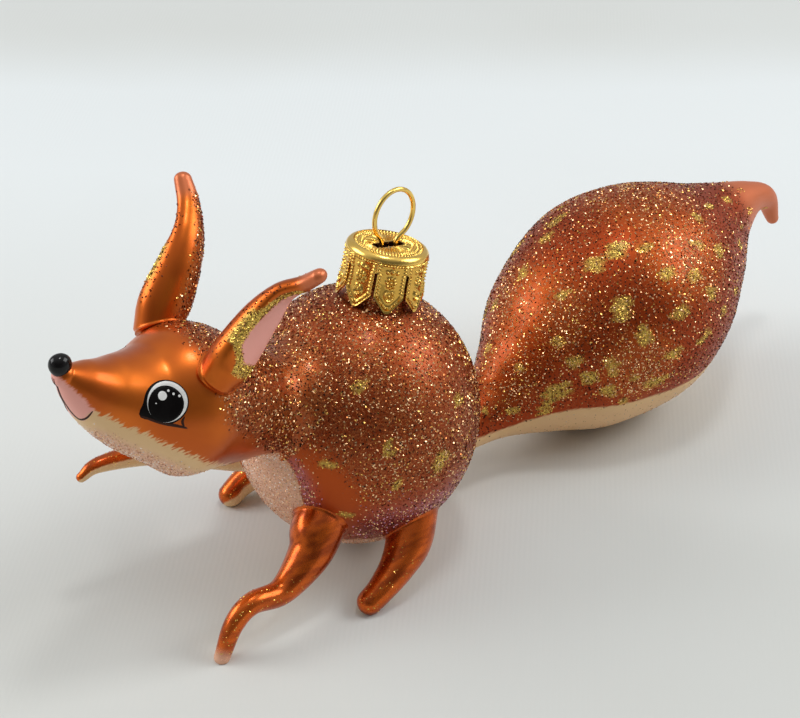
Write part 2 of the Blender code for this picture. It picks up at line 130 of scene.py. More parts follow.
class CapSizes(bpy.types.PropertyGroup):
    """Sizes of the stamped cap and the wire."""

    radius: length("Cap radius", "Radius at the petals' ends", 0.0070)
    top_radius: length("Top radius", "Radius under the shoulder", 0.0066)
    height: length("Cap height", "From the petals' ends to the top", 0.0091)
    sheet: length("Sheet", "Thickness of the stamped sheet", 0.0004)
    shoulder: length("Shoulder", "Rounding between top and side", 0.0011)
    petals: IntProperty(name="Petals", description="Number of petals", default=8, min=3)
    petal_turn: turn_of("Petal turn", "How far the petals are turned from the slot", 14.5)
    slit: length("Slit", "Width of the slit between petals", 0.0005)
    slit_length: length("Slit length", "Height of a slit's top above the petals' ends", 0.0063)
    notch: length("Notch", "Width of the notch at a slit's foot", 0.0047)
    slot_length: length("Slot length", "Length of the wire's slot", 0.0057)
    slot_width: length("Slot width", "Width of the wire's slot", 0.0018)
    emboss: length("Emboss", "Height of the stamped pattern", 0.00040)
    seam: length("Seam", "Room between the cap and the neck's lip", 0.0003)
    wire_radius: length("Wire radius", "Radius of the wire", 0.0004)
    loop_radius: length("Loop radius", "Radius of the loop", 0.0039)
    loop_lift: length("Loop lift", "Room under the loop", 0.0004)
    loop_stretch: amount("Loop stretch", "How much taller than wide the loop is", 1.10)
    leg_spacing: length("Leg spacing", "Between the wire's legs at the slot", 0.0030)
    leg_length: length("Leg length", "Length of a leg under the cap's top", 0.0090)


class Glitter(bpy.types.PropertyGroup):
    """Flakes stuck on the lacquer; each density is in thousands a square metre."""

    flake: length("Flake", "Radius of a glitter flake", 0.00016)
    tilt: turn_of("Tilt", "How far a flake may lean", 44.0)
    copper: amount("Copper", "Copper flakes of mixed tones", 6200.0)
    # Dark flakes are partly painted reflection, standing in for flakes that mirror the dim room
    dark: amount("Dark", "Dark brown flakes", 2300.0)
    dab: amount("Dab", "Gold flakes in a dab", 24000.0)
    pale: amount("Pale", "Pinkish white flakes on the breast and chin", 8500.0)
    purple: amount("Purple", "Purple flakes on the lower flanks", 9000.0)
    fleck: amount("Fleck", "Gold flecks on the legs", 900.0)


class Colours(bpy.types.PropertyGroup):
    """Colours of the finishes."""

    orange: tint("Orange", "Orange lacquer over silvering", (0.66, 0.145, 0.011))
    # Russet also paints shade on the tail, darker between its clouds of glitter
    russet: tint("Russet", "Darker airbrushed lacquer", (0.36, 0.042, 0.004))
    bronze: tint("Bronze", "Ground under the glitter", (0.24, 0.033, 0.006))
    cream: tint("Cream", "Cream paint under jaw, belly and tail", (0.84, 0.54, 0.26))
    blush: tint("Blush", "Rosy ground under the pale glitter", (0.82, 0.46, 0.30))
    pink: tint("Pink", "Pink paint of the lips and the ears' hollows", (0.92, 0.40, 0.33))
    coral: tint("Coral", "Bare ends of the ears, tail and feet", (0.62, 0.160, 0.055))
    amber: tint("Amber", "Lacquer of the legs", (0.74, 0.135, 0.011))
    gilt: tint("Gilt", "Gilded metal", (0.98, 0.67, 0.17))
    copper: tint("Copper flakes", "Copper glitter", (0.64, 0.235, 0.075))
    maroon: tint("Maroon flakes", "Deepest of the copper glitter", (0.16, 0.036, 0.014))
    rose: tint("Rose flakes", "Rosiest of the copper glitter", (0.95, 0.58, 0.30))
    # Dark flakes are partly painted reflection, standing in for flakes that mirror the dim room
    dark: tint("Dark flakes", "Dark brown glitter", (0.022, 0.010, 0.007))
    gold: tint("Gold flakes", "Gold glitter", (0.95, 0.56, 0.14))
    dab: tint("Dab flakes", "Gold glitter of the dabs", (1.0, 0.67, 0.13))
    pale: tint("Pale flakes", "Pinkish white glitter", (0.95, 0.80, 0.70))
    purple: tint("Purple flakes", "Purple glitter", (0.62, 0.29, 0.38))
    black: tint("Black", "Black paint and the nose bead", (0.003, 0.002, 0.002))
    white: tint("White", "White of the eyes", (0.80, 0.80, 0.78))
    brown: tint("Brown", "Thin brown brush lines", (0.040, 0.012, 0.006))
    floor: tint("Floor", "Pale floor under the ornament", (0.75, 0.785, 0.79))
    # The near floor's colour is painted shade, for the floor in front, far behind and in its faint fold
    # shading
    near_floor_shade: tint("Near floor", "The floor in front of the ornament", (0.625, 0.635, 0.605))


def sizes():
    return bpy.context.scene.ornament_sizes


def cap_sizes():
    return bpy.context.scene.ornament_cap


def glitter():
    return bpy.context.scene.ornament_glitter


def colours():
    return bpy.context.scene.ornament_colours


# Curves and middle lines
TINY = 1e-12
# Share of the muzzle's reach, and radius as a share of the head's
MUZZLE_PROFILE = ((0.34, 0.720), (0.64, 0.496), (0.86, 0.310))
# Shares of the tail's reach, height and radius
TAIL_PROFILE = (
    (0.14, 0.54, 0.22), (0.36, 0.49, 0.22), (0.50, 0.53, 0.29), (0.62, 0.62, 0.50),
    (0.77, 0.77, 0.81), (1.00, 1.00, 1.00), (1.19, 1.17, 0.89), (1.35, 1.31, 0.62),
    (1.48, 1.43, 0.34), (1.60, 1.48, 0.17), (1.69, 1.40, 0.11), (1.74, 1.14, 0.06))


def unit(rows):
    return rows / np.maximum(np.linalg.norm(rows, axis=-1, keepdims=True), TINY)


def ramp(low, high, values):
    """Smooth step from 0 at low to 1 at high."""
    share = np.clip((values - low) / (high - low), 0.0, 1.0)
    return share * share * (3.0 - 2.0 * share)


def ridge(values, half_width):
    """A smooth ridge, 1 where a value is 0 and small past the half width."""
    return np.exp(-(values / half_width) ** 2)


def patch(aside, y, z, middle, spread):
    """A soft round patch about a middle; its spread is its reach squared."""
    across, back, up = middle
    return np.exp(-((aside - across) ** 2 + (y - back) ** 2 + (z - up) ** 2) / spread)


def circle(sides):
    return np.linspace(0.0, math.tau, sides, endpoint=False)


def smooth_run(stations, steps):
    """Catmull-Rom run through rows of x, y, z, radius."""
    rows = np.array(stations, float)
    rows = np.vstack([2 * rows[0] - rows[1], rows, 2 * rows[-1] - rows[-2]])
    run = []
    for before, start, end, after in zip(rows, rows[1:], rows[2:], rows[3:]):
        for t in np.arange(steps) / steps:
            bend = 2 * before - 5 * start + 4 * end - after + t * (3 * (start - end) + after - before)
            run.append(start + 0.5 * t * (end - before + t * bend))
    run.append(rows[-2])
    return np.array(run)


def domed(run, steps=12):
    """A run with a round end past its last row."""
    last = run[-1]
    ahead = unit(last[:3] - run[-2, :3])
    angles = np.linspace(0.0, math.pi / 2, steps + 1)[1:]
    dome = [np.append(last[:3] + ahead * last[3] * math.sin(a), last[3] * math.cos(a)) for a in angles]
    return np.vstack([run, dome])


def ring_offsets(run, sides):
    """Round rings about a run, carried along it without twist, one row of corners a station."""
    along = unit(np.gradient(run[:, :3], axis=0))
    side = np.array((1.0, 0.0, 0.0))
    wide = []
    for way in along:
        side = unit(side - (side @ way) * way)
        wide.append(side)
    wide = np.array(wide)
    thick = np.cross(along, wide)
    around = circle(sides)
    ring = np.cos(around)[None, :, None] * wide[:, None] + np.sin(around)[None, :, None] * thick[:, None]
    return run[:, 3, None, None] * ring


def neck_frame():
    """Centre of the bulb, and the directions of its own X, Y and Z, which leans with the neck."""
    size = sizes()
    centre = np.array((0.0, -size.bulb_forward, size.bulb_height))
    lean = Matrix.Rotation(-size.neck_lean, 3, "X")
    return centre, np.array(lean)


def to_neck(points):
    centre, lean = neck_frame()
    return (points - centre) @ lean


def from_neck(points):
    centre, lean = neck_frame()
    return points @ lean.T + centre


def bulb_clearance(points):
    """How far points lie outside the body bulb."""
    size = sizes()
    own = to_neck(points)
    share = np.sqrt((own[..., 0] ** 2 + own[..., 1] ** 2) / size.bulb_radius ** 2
                    + own[..., 2] ** 2 / size.bulb_half_height ** 2)
    return (share - 1.0) * np.linalg.norm(own, axis=-1) / np.maximum(share, TINY)


def run_clearance(run):
    """A function that says how far points lie outside a round run."""
    def clearance(points):
        apart = np.linalg.norm(points[..., None, :] - run[:, :3], axis=-1)
        return (apart - run[:, 3]).min(axis=-1)
    return clearance


def up_slope(angle):
    """The direction that rises ahead of the squirrel at an angle."""
    return np.array((0.0, -math.cos(angle), math.sin(angle)))


def off_slope(angle):
    """The direction square to such a slope, above it."""
    return np.array((0.0, math.sin(angle), math.cos(angle)))


def head_centre():
    size = sizes()
    return neck_frame()[0] + size.head_reach * up_slope(size.head_rise)


def head_run(steps):
    """Middle line and radius of the throat, the head and the muzzle."""
    size = sizes()
    bulb = neck_frame()[0]
    way = size.head_reach * up_slope(size.head_rise)
    nape_radius = 0.45 * size.throat_radius + 0.55 * size.head_radius
    throat = ((0.22, size.throat_radius), (0.52, size.throat_radius), (0.78, nape_radius),
              (1.0, size.head_radius))
    stations = [(*(bulb + share * way), radius) for share, radius in throat]
    for share, radius in (*MUZZLE_PROFILE, (1.0, size.muzzle_tip / size.head_radius)):
        point = bulb + way + size.muzzle_reach * share * up_slope(size.muzzle_rise)
        point -= size.muzzle_dish * math.sin(math.pi * share) * off_slope(size.muzzle_rise)
        stations.append((*point, radius * size.head_radius))
    return smooth_run(stations, steps)


def tail_run(steps):
    """Middle line and radius of the tail, from inside the bulb to the hooked tip."""
    size = sizes()
    stations = [(0.0, size.tail_reach * reach - size.bulb_forward, size.tail_height * height,
                 size.tail_radius * radius) for reach, height, radius in TAIL_PROFILE]
    return smooth_run(stations, steps)


def cap_top():
    """Height of the cap's top above the bulb's centre, along the neck."""
    size = sizes()
    cap = cap_sizes()
    return size.bulb_half_height + size.neck_rise + cap.seam + cap.sheet


# Meshes
def new_object(name, data):
    made = bpy.data.objects.new(name, data)
    bpy.context.scene.collection.objects.link(made)
    return made


def plain_mesh(name, points, faces):
    mesh = bpy.data.meshes.new(name)
    mesh.from_pydata([tuple(p) for p in points], [], faces)
    return mesh


def turned_out(mesh, merge=0.0, mirror=False):
    """Smooth a mesh and turn its faces outwards, once its mirror image is added or its doubles merged."""
    work = bmesh.new()
    work.from_mesh(mesh)
    if mirror:
        copy = bmesh.ops.duplicate(work, geom=work.verts[:] + work.edges[:] + work.faces[:])["geom"]
        for part in copy:
            if isinstance(part, bmesh.types.BMVert):
                part.co.x = -part.co.x
    if merge:
        bmesh.ops.remove_doubles(work, verts=work.verts, dist=merge)
    bmesh.ops.recalc_face_normals(work, faces=work.faces)
    work.to_mesh(mesh)
    work.free()
    mesh.shade_smooth()
    return mesh


def capped_tube(name, rings, first_pole, last_pole):
    """A closed skin over rows of rings, with a pole at each end."""
    rows, sides = rings.shape[:2]
    points = list(rings.reshape(-1, 3)) + [first_pole, last_pole]
    pairs = [(k, (k + 1) % sides) for k in range(sides)]
    faces = []
    for start in range(0, (rows - 1) * sides, sides):
        for k, after in pairs:
            faces.append((start + k, start + after, start + sides + after, start + sides + k))
    first, last = rows * sides, rows * sides + 1
    last_ring = (rows - 1) * sides
    for k, after in pairs:
        faces.append((first, after, k))
        faces.append((last, last_ring + k, last_ring + after))
    return turned_out(plain_mesh(name, points, faces))


def store(mesh, **masks):
    """Write painted masks as point attributes."""
    for name, values in masks.items():
        layer = mesh.attributes.new(name, "FLOAT", "POINT")
        layer.data.foreach_set("value", np.asarray(values, np.float32).ravel())


def read_rows(source, name, width):
    """Values that Blender keeps for each corner, as rows."""
    rows = np.empty(len(source) * width)
    source.foreach_get(name, rows)
    return rows.reshape(-1, width)


def corners(mesh):
    return read_rows(mesh.vertices, "co", 3)


def along_limb(mesh):
    """How far along its limb each corner lies, from 0 to 1."""
    return read_rows(mesh.attributes["along"].data, "value", 1)[:, 0]


def settled(points, carrier, wanted):
    """Move points along a carrier's slope until they lie as clear of it as wanted."""
    step = 0.01 * MM
    for _ in range(2):
        clear = carrier(points)
        slope = np.stack([carrier(points + step * axis) - clear for axis in np.eye(3)], axis=-1)
        points = points + (wanted - clear)[..., None] * unit(slope)
    return points


def welded_rings(points, offsets, carrier, flare, rows):
    """Rings of a limb whose root flows out onto its carrier, and how far along the limb each corner lies.
    The flare is one length, or a length for each corner of a ring."""
    flares = np.broadcast_to(flare, offsets.shape[1])
    sunk = 0.06 * MM
    crowding = 0.8
    grid = points[:, None] + offsets
    clear = carrier(grid)
    run = np.concatenate([[0.0], np.cumsum(np.linalg.norm(np.diff(points, axis=0), axis=1))])
    share = np.linspace(0.0, 1.0, rows)
    share = share - crowding * np.sin(math.tau * share) / math.tau
    rings = np.empty((rows, grid.shape[1], 3))
    along = np.empty((rows, grid.shape[1]))
    for k in range(grid.shape[1]):
        inside = np.nonzero(clear[:, k] < -sunk)[0]
        start = 0.0
        if len(inside):
            low = inside[-1]
            part = (-sunk - clear[low, k]) / (clear[low + 1, k] - clear[low, k])
            start = run[low] + part * (run[low + 1] - run[low])
        at = start + (run[-1] - start) * share
        corner = np.stack([np.interp(at, run, grid[:, k, axis]) for axis in range(3)], axis=1)
        middle = np.stack([np.interp(at, run, points[:, axis]) for axis in range(3)], axis=1)
        above = carrier(corner)
        near = np.where(at < start + 3 * flares[k], 1.0 - np.clip(above / flares[k], 0.0, 1.0), 0.0)
        push = flares[k] * (1.0 - np.sqrt(1.0 - near ** 2))
        rooted = near > 0.0
        rings[:, k] = corner + unit(corner - middle) * push[:, None]
        rings[rooted, k] = settled(rings[rooted, k], carrier, above[rooted])
        along[:, k] = at / run[-1]
    return rings, along


def limb_mesh(name, points, offsets, carrier, flare, rows):
    """A closed limb skin, with its along attribute."""
    pole_depth = 0.4
    rings, along = welded_rings(points, offsets, carrier, flare, rows)
    root = rings[0].mean(axis=0)
    root -= unit(rings[3].mean(axis=0) - root) * pole_depth * MM
    mesh = capped_tube(name, rings[:-1], root, rings[-1].mean(axis=0))
    store(mesh, along=np.append(along[:-1].ravel(), (0.0, 1.0)))
    return mesh


# Cream and pink are millimetres inside a painted edge; the other masks run from 0 to 1
EDGE_ZONES = ("cream", "pink")
SHARE_ZONES = ("ground", "russet", "bare", "pale", "copper", "dark", "purple", "dabs")
OUTSIDE = -9.0


def paint_zones(mesh, **zones):
    """Store every mask that the lacquer and its glitter read; one that isn't given is empty."""
    for name in EDGE_ZONES + SHARE_ZONES:
        empty = np.full(len(mesh.vertices), OUTSIDE if name in EDGE_ZONES else 0.0)
        store(mesh, **{name: zones.get(name, empty)})


def clumped(x, y, z):
    """How unevenly glitter clings: a cloudy value from 0 to 1 over places in millimetres."""
    broad = np.sin(0.37 * x + 0.29 * y + 0.4) * np.sin(0.33 * z - 0.21 * y + 1.3)
    fine = np.sin(1.1 * x - 0.8 * z + 0.5) * np.sin(0.9 * y + 0.7 * z)
    return np.clip(0.58 + 0.34 * broad + 0.22 * fine, 0.0, 1.0)


def dabbed(x, y, z, spots):
    """A mask of uneven dabs, alike on both sides, each given by its place and reach in millimetres."""
    inner, outer = 0.72, 0.88
    mask = np.zeros_like(x)
    uneven = 1.0 + 0.22 * np.sin(2.3 * x + 3.1 * z) * np.sin(2.9 * y - 1.7 * z + 0.7)
    uneven += 0.14 * np.sin(5.1 * y + 4.3 * z)
    for across, back, up, reach in spots:
        stretch = 1.0 + 0.32 * math.sin(7.0 * back + 3.0 * up)
        slant = 0.35 * math.sin(5.0 * up + 2.0 * back)
        above = z - up - slant * (y - back)
        far = np.sqrt((np.abs(x) - across) ** 2 + ((y - back) * stretch) ** 2 + (above / stretch) ** 2)
        mask = np.maximum(mask, ramp(outer * reach, inner * reach, far * uneven))
    return mask


def finish_piece(mesh, material, body, slot, *nodes):
    """Make a piece of a mesh, with its material, its body and the nodes it stands for. The slot is not used.
    """
    piece = new_object(mesh.name, mesh)
    mesh.materials.append(material)
    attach(piece, body)
    if nodes:
        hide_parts(*nodes)


# Node trees
def give(tree, socket, value):
    """Link another node's output to a socket, or set the socket's own value."""
    if isinstance(value, bpy.types.NodeSocket):
        tree.links.new(value, socket)
    else:
        socket.default_value = value


def node(tree, kind, inputs=None, **settings):
    """Add a node, set its options, and give it its inputs by name or number."""
    made = tree.nodes.new(kind)
    for key, value in settings.items():
        setattr(made, key, value)
    for key, value in (inputs or {}).items():
        give(tree, made.inputs[key], value)
    return made


def feed(tree, shader, **inputs):
    """Give a shader its inputs, with spaces in their names written as underscores."""
    for key, value in inputs.items():
        give(tree, shader.inputs[key.replace("_", " ")], value)


def mixed(tree, factor, first, second):
    """The colour between two colours."""
    mix = node(tree, "ShaderNodeMix", {0: factor, 6: first, 7: second}, data_type="RGBA")
    return mix.outputs[2]


def maths(tree, operation, *values):
    """A Math node's result."""
    return node(tree, "ShaderNodeMath", dict(enumerate(values)), operation=operation).outputs[0]


def stepped(tree, value, low, high, to_low=0.0, to_high=1.0):
    """A smooth step of a value."""
    inputs = {"Value": value, "From Min": low, "From Max": high, "To Min": to_low, "To Max": to_high}
    return node(tree, "ShaderNodeMapRange", inputs, interpolation_type="SMOOTHSTEP").outputs["Result"]


def noise(tree, place, scale, detail=2.0):
    return node(tree, "ShaderNodeTexNoise", {"Vector": place, "Scale": scale, "Detail": detail}).outputs[0]


def facing(tree, place, way):
    """How far a place lies along a direction."""
    return node(tree, "ShaderNodeVectorMath", {0: place, 1: way}, operation="DOT_PRODUCT").outputs["Value"]


def bump(tree, height, strength, distance):
    inputs = {"Height": height, "Strength": strength, "Distance": distance}
    return node(tree, "ShaderNodeBump", inputs).outputs[0]


def painted(tree, name):
    """A mask stored on the piece."""
    return node(tree, "ShaderNodeAttribute", attribute_name=name).outputs["Fac"]


def opaque(colour):
    return (*colour, 1.0)


def deeper(colour, share):
    return opaque(tuple(share * c for c in colour))


def add_sockets(tree, in_out, sockets):
    for name, kind in sockets.items():
        tree.interface.new_socket(name=name, in_out=in_out, socket_type="NodeSocket" + kind)


def shader_group(name, inputs, outputs):
    """An empty shader group with named sockets, and its input and output nodes."""
    tree = bpy.data.node_groups.new(name, "ShaderNodeTree")
    add_sockets(tree, "INPUT", inputs)
    add_sockets(tree, "OUTPUT", outputs)
    return tree, tree.nodes.new("NodeGroupInput").outputs, tree.nodes.new("NodeGroupOutput").inputs


def brush_edge(name):
    """Turns a painted edge, in millimetres inside it, into a mask with a brushed fur edge."""
    tree, given, made = shader_group(name, {"Place": "Vector", "Edge": "Float", "Reach": "Float"},
                                     {"Mask": "Float"})
    hair_lie = (math.radians(-62.0), 0.0, 0.0)
    hair_size = (0.0008, 0.00042, 0.0036)
    half_soft = 0.34
    turned = node(tree, "ShaderNodeMapping",
                  {"Vector": given["Place"], "Rotation": hair_lie, "Scale": hair_size}, vector_type="TEXTURE")
    hairs = noise(tree, turned.outputs[0], 1.0, 3.0)
    wave = maths(tree, "MULTIPLY_ADD", hairs, 2.0, -1.0)
    edge = maths(tree, "MULTIPLY_ADD", wave, given["Reach"], given["Edge"])
    tree.links.new(stepped(tree, edge, -half_soft, half_soft), made["Mask"])
    return tree


def glitter_dust(name):
    """Fine glitter between the modelled flakes: a random grain for each speck, and its height."""
    tree, given, made = shader_group(name, {"Place": "Vector", "Amount": "Float"},
                                     {"Speck": "Float", "Spark": "Float", "Height": "Float"})
    specks_a_metre = 4200.0
    cells = node(tree, "ShaderNodeTexVoronoi", {"Vector": given["Place"], "Scale": specks_a_metre})
    split = node(tree, "ShaderNodeSeparateColor", {0: cells.outputs["Color"]})
    speck = maths(tree, "LESS_THAN", split.outputs[0], given["Amount"])
    tree.links.new(speck, made["Speck"])
    tree.links.new(split.outputs[1], made["Spark"])
    tree.links.new(maths(tree, "MULTIPLY", speck, split.outputs[2]), made["Height"])
    return tree


def airbrush(name):
    """Soft uneven lacquer: cloudy depth of colour, and a fine satin grain."""
    tree, given, made = shader_group(name, {"Place": "Vector", "Scale": "Float"},
                                     {"Depth": "Float", "Grain": "Float"})
    grains_a_metre = 2600.0
    clouds = noise(tree, given["Place"], given["Scale"])
    tree.links.new(stepped(tree, clouds, 0.32, 0.68), made["Depth"])
    tree.links.new(noise(tree, given["Place"], grains_a_metre), made["Grain"])
    return tree


def shared(build):
    """The node group that a function builds, made once and named after it."""
    return bpy.data.node_groups.get(build.__name__) or build(build.__name__)


def group(tree, build, **inputs):
    """Outputs of a shared group, placed in a material with its own values."""
    return node(tree, "ShaderNodeGroup", inputs, node_tree=shared(build)).outputs


def new_material(name):
    material = bpy.data.materials.new(name)
    material.use_nodes = True
    tree = material.node_tree
    place = node(tree, "ShaderNodeTexCoord").outputs["Object"]
    return material, tree, tree.nodes["Principled BSDF"], place


def lacquer(name, clouds, brush, satin=0.29, gloss=0.10):
    """Satin lacquer over silvered glass, with its painted zones and its ground for glitter.
    Clouds is how fine the airbrushing is, and brush how far the cream's edge is feathered, in millimetres."""
    colour = colours()
    silvered, under_paint = 0.86, 0.10
    cloud_depth, speck_cover, violet_cover, bare_paint = 0.45, 0.4, 0.4, 0.45
    grain_rough, glitter_rough, paint_rough = 0.10, 0.12, 0.08
    material, tree, shader, place = new_material(name)
    ground, dab, bare = (painted(tree, zone) for zone in ("ground", "dabs", "bare"))
    air = group(tree, airbrush, Place=place, Scale=clouds)
    dust = group(tree, glitter_dust, Place=place, Amount=ground)
    cream = group(tree, brush_edge, Place=place, Reach=brush, Edge=painted(tree, "cream"))["Mask"]
    pink = group(tree, brush_edge, Place=place, Reach=0.4 * brush, Edge=painted(tree, "pink"))["Mask"]
    clouded = maths(tree, "MULTIPLY", air["Depth"], cloud_depth)
    shade = maths(tree, "MAXIMUM", clouded, painted(tree, "russet"))
    speck = maths(tree, "MULTIPLY", dust["Speck"], speck_cover)
    spark = mixed(tree, dust["Spark"], opaque(colour.maroon), opaque(colour.copper))
    violet = maths(tree, "MULTIPLY", painted(tree, "purple"), violet_cover)
    pale = mixed(tree, painted(tree, "pale"), opaque(colour.cream), opaque(colour.blush))
    layers = ((ground, opaque(colour.bronze)), (speck, spark), (dab, deeper(colour.dab, 0.55)),
              (violet, deeper(colour.purple, 0.7)), (bare, opaque(colour.coral)), (cream, pale),
              (pink, opaque(colour.pink)))
    coat = mixed(tree, shade, opaque(colour.orange), opaque(colour.russet))
    for mask, over in layers:
        coat = mixed(tree, mask, coat, over)
    paint = maths(tree, "MAXIMUM", cream, pink)
    paint = maths(tree, "MAXIMUM", paint, maths(tree, "MULTIPLY", bare, bare_paint))
    rough = maths(tree, "MULTIPLY_ADD", air["Grain"], grain_rough, satin)
    rough = maths(tree, "MULTIPLY_ADD", maths(tree, "MAXIMUM", ground, dab), glitter_rough, rough)
    rough = maths(tree, "MULTIPLY_ADD", paint, paint_rough, rough)
    raised = bump(tree, dust["Height"], strength=0.6, distance=0.1 * MM)
    feed(tree, shader, Base_Color=coat, Metallic=stepped(tree, paint, 0.0, 1.0, silvered, under_paint),
         Roughness=rough, Normal=raised, Coat_Weight=gloss, Coat_Roughness=0.16)
    return material


def amber(name):
    """Glossy amber lacquer of a drawn leg, with dark bands along it painted as its shade, cream below and
    bare at the foot.
    """
    colour = colours()
    silvered, under_paint = 0.80, 0.08
    cloud_depth, streak_shade_depth, satin, grain_rough = 0.4, 0.75, 0.20, 0.12
    streak_scale = (700.0, 110.0, 700.0)
    material, tree, shader, place = new_material(name)
    bare = painted(tree, "bare")
    drawn = node(tree, "ShaderNodeMapping", {"Vector": place, "Scale": streak_scale}).outputs[0]
    shade_streaks = group(tree, airbrush, Place=drawn, Scale=1.0)
    air = group(tree, airbrush, Place=place, Scale=210.0)
    clouded = maths(tree, "MULTIPLY", air["Depth"], cloud_depth)
    # Painted shade: dark russet bands run along the leg
    dark = maths(tree, "MULTIPLY", maths(tree, "MAXIMUM", clouded, shade_streaks["Depth"]), streak_shade_depth)
    coat = mixed(tree, dark, opaque(colour.amber), deeper(colour.russet, 0.65))
    cream = group(tree, brush_edge, Place=place, Edge=painted(tree, "cream"), Reach=0.3)["Mask"]
    coat = mixed(tree, cream, coat, opaque(colour.cream))
    coat = mixed(tree, bare, coat, opaque(colour.blush))
    metal = stepped(tree, maths(tree, "MAXIMUM", cream, bare), 0.0, 1.0, silvered, under_paint)
    feed(tree, shader, Base_Color=coat, Metallic=metal, Coat_Weight=0.12, Coat_Roughness=0.10,
         Roughness=maths(tree, "MULTIPLY_ADD", air["Grain"], grain_rough, satin))
    return material


def flake_finish(name, tones, roughness=0.17, metal=0.9):
    """Metal glitter, each flake in one of a few tones."""
    material, tree, shader, _ = new_material(name)
    tone = painted(tree, "tone")
    choice = node(tree, "ShaderNodeValToRGB", {0: tone})
    band = choice.color_ramp
    band.interpolation = "CONSTANT"
    band.elements.remove(band.elements[1])
    for k, colour in enumerate(tones):
        stop = band.elements[0] if k == 0 else band.elements.new(k / len(tones))
        stop.color = opaque(colour)
    feed(tree, shader, Base_Color=choice.outputs[0], Metallic=metal,
         Roughness=stepped(tree, tone, 0.0, 1.0, roughness * 1.3, roughness * 0.8))
    return material


def gloss_paint(name, colour, roughness, shine=0.5):
    """Enamel with a faint brush grain, and as much shine as it is given."""
    material, tree, shader, place = new_material(name)
    lightened, grain_rough = 1.12, 0.08
    air = group(tree, airbrush, Place=place, Scale=700.0)
    lighter = tuple(min(1.0, c * lightened + 0.001) for c in colour)
    feed(tree, shader, Base_Color=mixed(tree, air["Depth"], opaque(colour), opaque(lighter)),
         Roughness=maths(tree, "MULTIPLY_ADD", air["Grain"], grain_rough, roughness),
         Specular_IOR_Level=shine, Coat_Weight=0.5 * shine, Coat_Roughness=0.05)
    return material


def gilt_metal(name, roughness, worn):
    """Gilded metal, deeper in colour in uneven tarnished patches and in the low places of its stamped
    pattern.
    """
    colour = colours()
    deep_share = (0.78, 0.62, 0.42)
    grain_rough = 0.14
    material, tree, shader, place = new_material(name)
    air = group(tree, airbrush, Place=place, Scale=520.0)
    deep = tuple(c * k for c, k in zip(colour.gilt, deep_share))
    tarnish = maths(tree, "MULTIPLY", air["Depth"], worn)
    recess = maths(tree, "MAXIMUM", tarnish, painted(tree, "recess"))
    feed(tree, shader, Base_Color=mixed(tree, recess, opaque(colour.gilt), opaque(deep)), Metallic=1.0,
         Roughness=maths(tree, "MULTIPLY_ADD", air["Grain"], grain_rough, roughness))
    return material


# Glitter
FLAKE_SIDES = 5
FLAKE_RISE = 0.12
SMALLEST_FLAKE, LARGEST_FLAKE = 0.65, 1.3
TONE_SEED = 7.0


def scatter_flakes(name):
    """Scatters low five-sided flakes over a skin, as thickly as a mask on it says."""
    tree = bpy.data.node_groups.new(name, "GeometryNodeTree")
    add_sockets(tree, "INPUT", {"Skin": "Geometry", "Mask": "String", "Density": "Float", "Flake": "Float",
                                "Tilt": "Float", "Seed": "Int", "Finish": "Material"})
    add_sockets(tree, "OUTPUT", {"Flakes": "Geometry"})
    given = node(tree, "NodeGroupInput").outputs
    seed = given["Seed"]
    mask = node(tree, "GeometryNodeInputNamedAttribute", {"Name": given["Mask"]}, data_type="FLOAT")
    density = maths(tree, "MULTIPLY", mask.outputs["Attribute"], given["Density"])
    spread = node(tree, "GeometryNodeDistributePointsOnFaces",
                  {"Mesh": given["Skin"], "Density": density, "Seed": seed})
    flake = node(tree, "GeometryNodeMeshCone",
                 {"Vertices": FLAKE_SIDES, "Radius Bottom": given["Flake"], "Radius Top": 0.0,
                  "Depth": maths(tree, "MULTIPLY", given["Flake"], FLAKE_RISE)})
    back = maths(tree, "MULTIPLY", given["Tilt"], -1.0)
    least = node(tree, "ShaderNodeCombineXYZ", {0: back, 1: back})
    most = node(tree, "ShaderNodeCombineXYZ", {0: given["Tilt"], 1: given["Tilt"], 2: math.tau})
    lean = node(tree, "FunctionNodeRandomValue",
                {"Min": least.outputs[0], "Max": most.outputs[0], "Seed": seed}, data_type="FLOAT_VECTOR")
    leaned = node(tree, "FunctionNodeEulerToRotation", {0: lean.outputs["Value"]})
    turned = node(tree, "FunctionNodeRotateRotation", {0: spread.outputs["Rotation"], 1: leaned.outputs[0]},
                  rotation_space="LOCAL")
    size = node(tree, "FunctionNodeRandomValue", {2: SMALLEST_FLAKE, 3: LARGEST_FLAKE, "Seed": seed},
                data_type="FLOAT")
    placed = node(tree, "GeometryNodeInstanceOnPoints",
                  {"Points": spread.outputs["Points"], "Instance": flake.outputs["Mesh"],
                   "Rotation": turned.outputs[0], "Scale": size.outputs[1]})
    tone = node(tree, "FunctionNodeRandomValue",
                {2: 0.0, 3: 1.0, "Seed": maths(tree, "ADD", seed, TONE_SEED)}, data_type="FLOAT")
    toned = node(tree, "GeometryNodeStoreNamedAttribute",
                 {"Geometry": placed.outputs[0], "Name": "tone", "Value": tone.outputs[1]},
                 data_type="FLOAT", domain="INSTANCE")
    real = node(tree, "GeometryNodeRealizeInstances", {0: toned.outputs[0]})
    finished = node(tree, "GeometryNodeSetMaterial", {0: real.outputs[0], "Material": given["Finish"]})
    node(tree, "NodeGroupOutput", {0: finished.outputs[0]})
    return tree


def run_tree(name, mesh, tree, **inputs):
    """A plain mesh object made by a node tree from a mesh, its inputs set before it is evaluated."""
    carrier = new_object(name + "_carrier", mesh)
    modifier = carrier.modifiers.new("nodes", "NODES")
    modifier.node_group = tree
    for item in tree.interface.items_tree:
        if item.in_out == "INPUT" and item.name in inputs:
            modifier[item.identifier] = inputs[item.name]
    graph = bpy.context.evaluated_depsgraph_get()
    made = bpy.data.meshes.new_from_object(carrier.evaluated_get(graph))
    bpy.data.objects.remove(carrier, do_unlink=True)
    made.name = name
    return new_object(name, made)


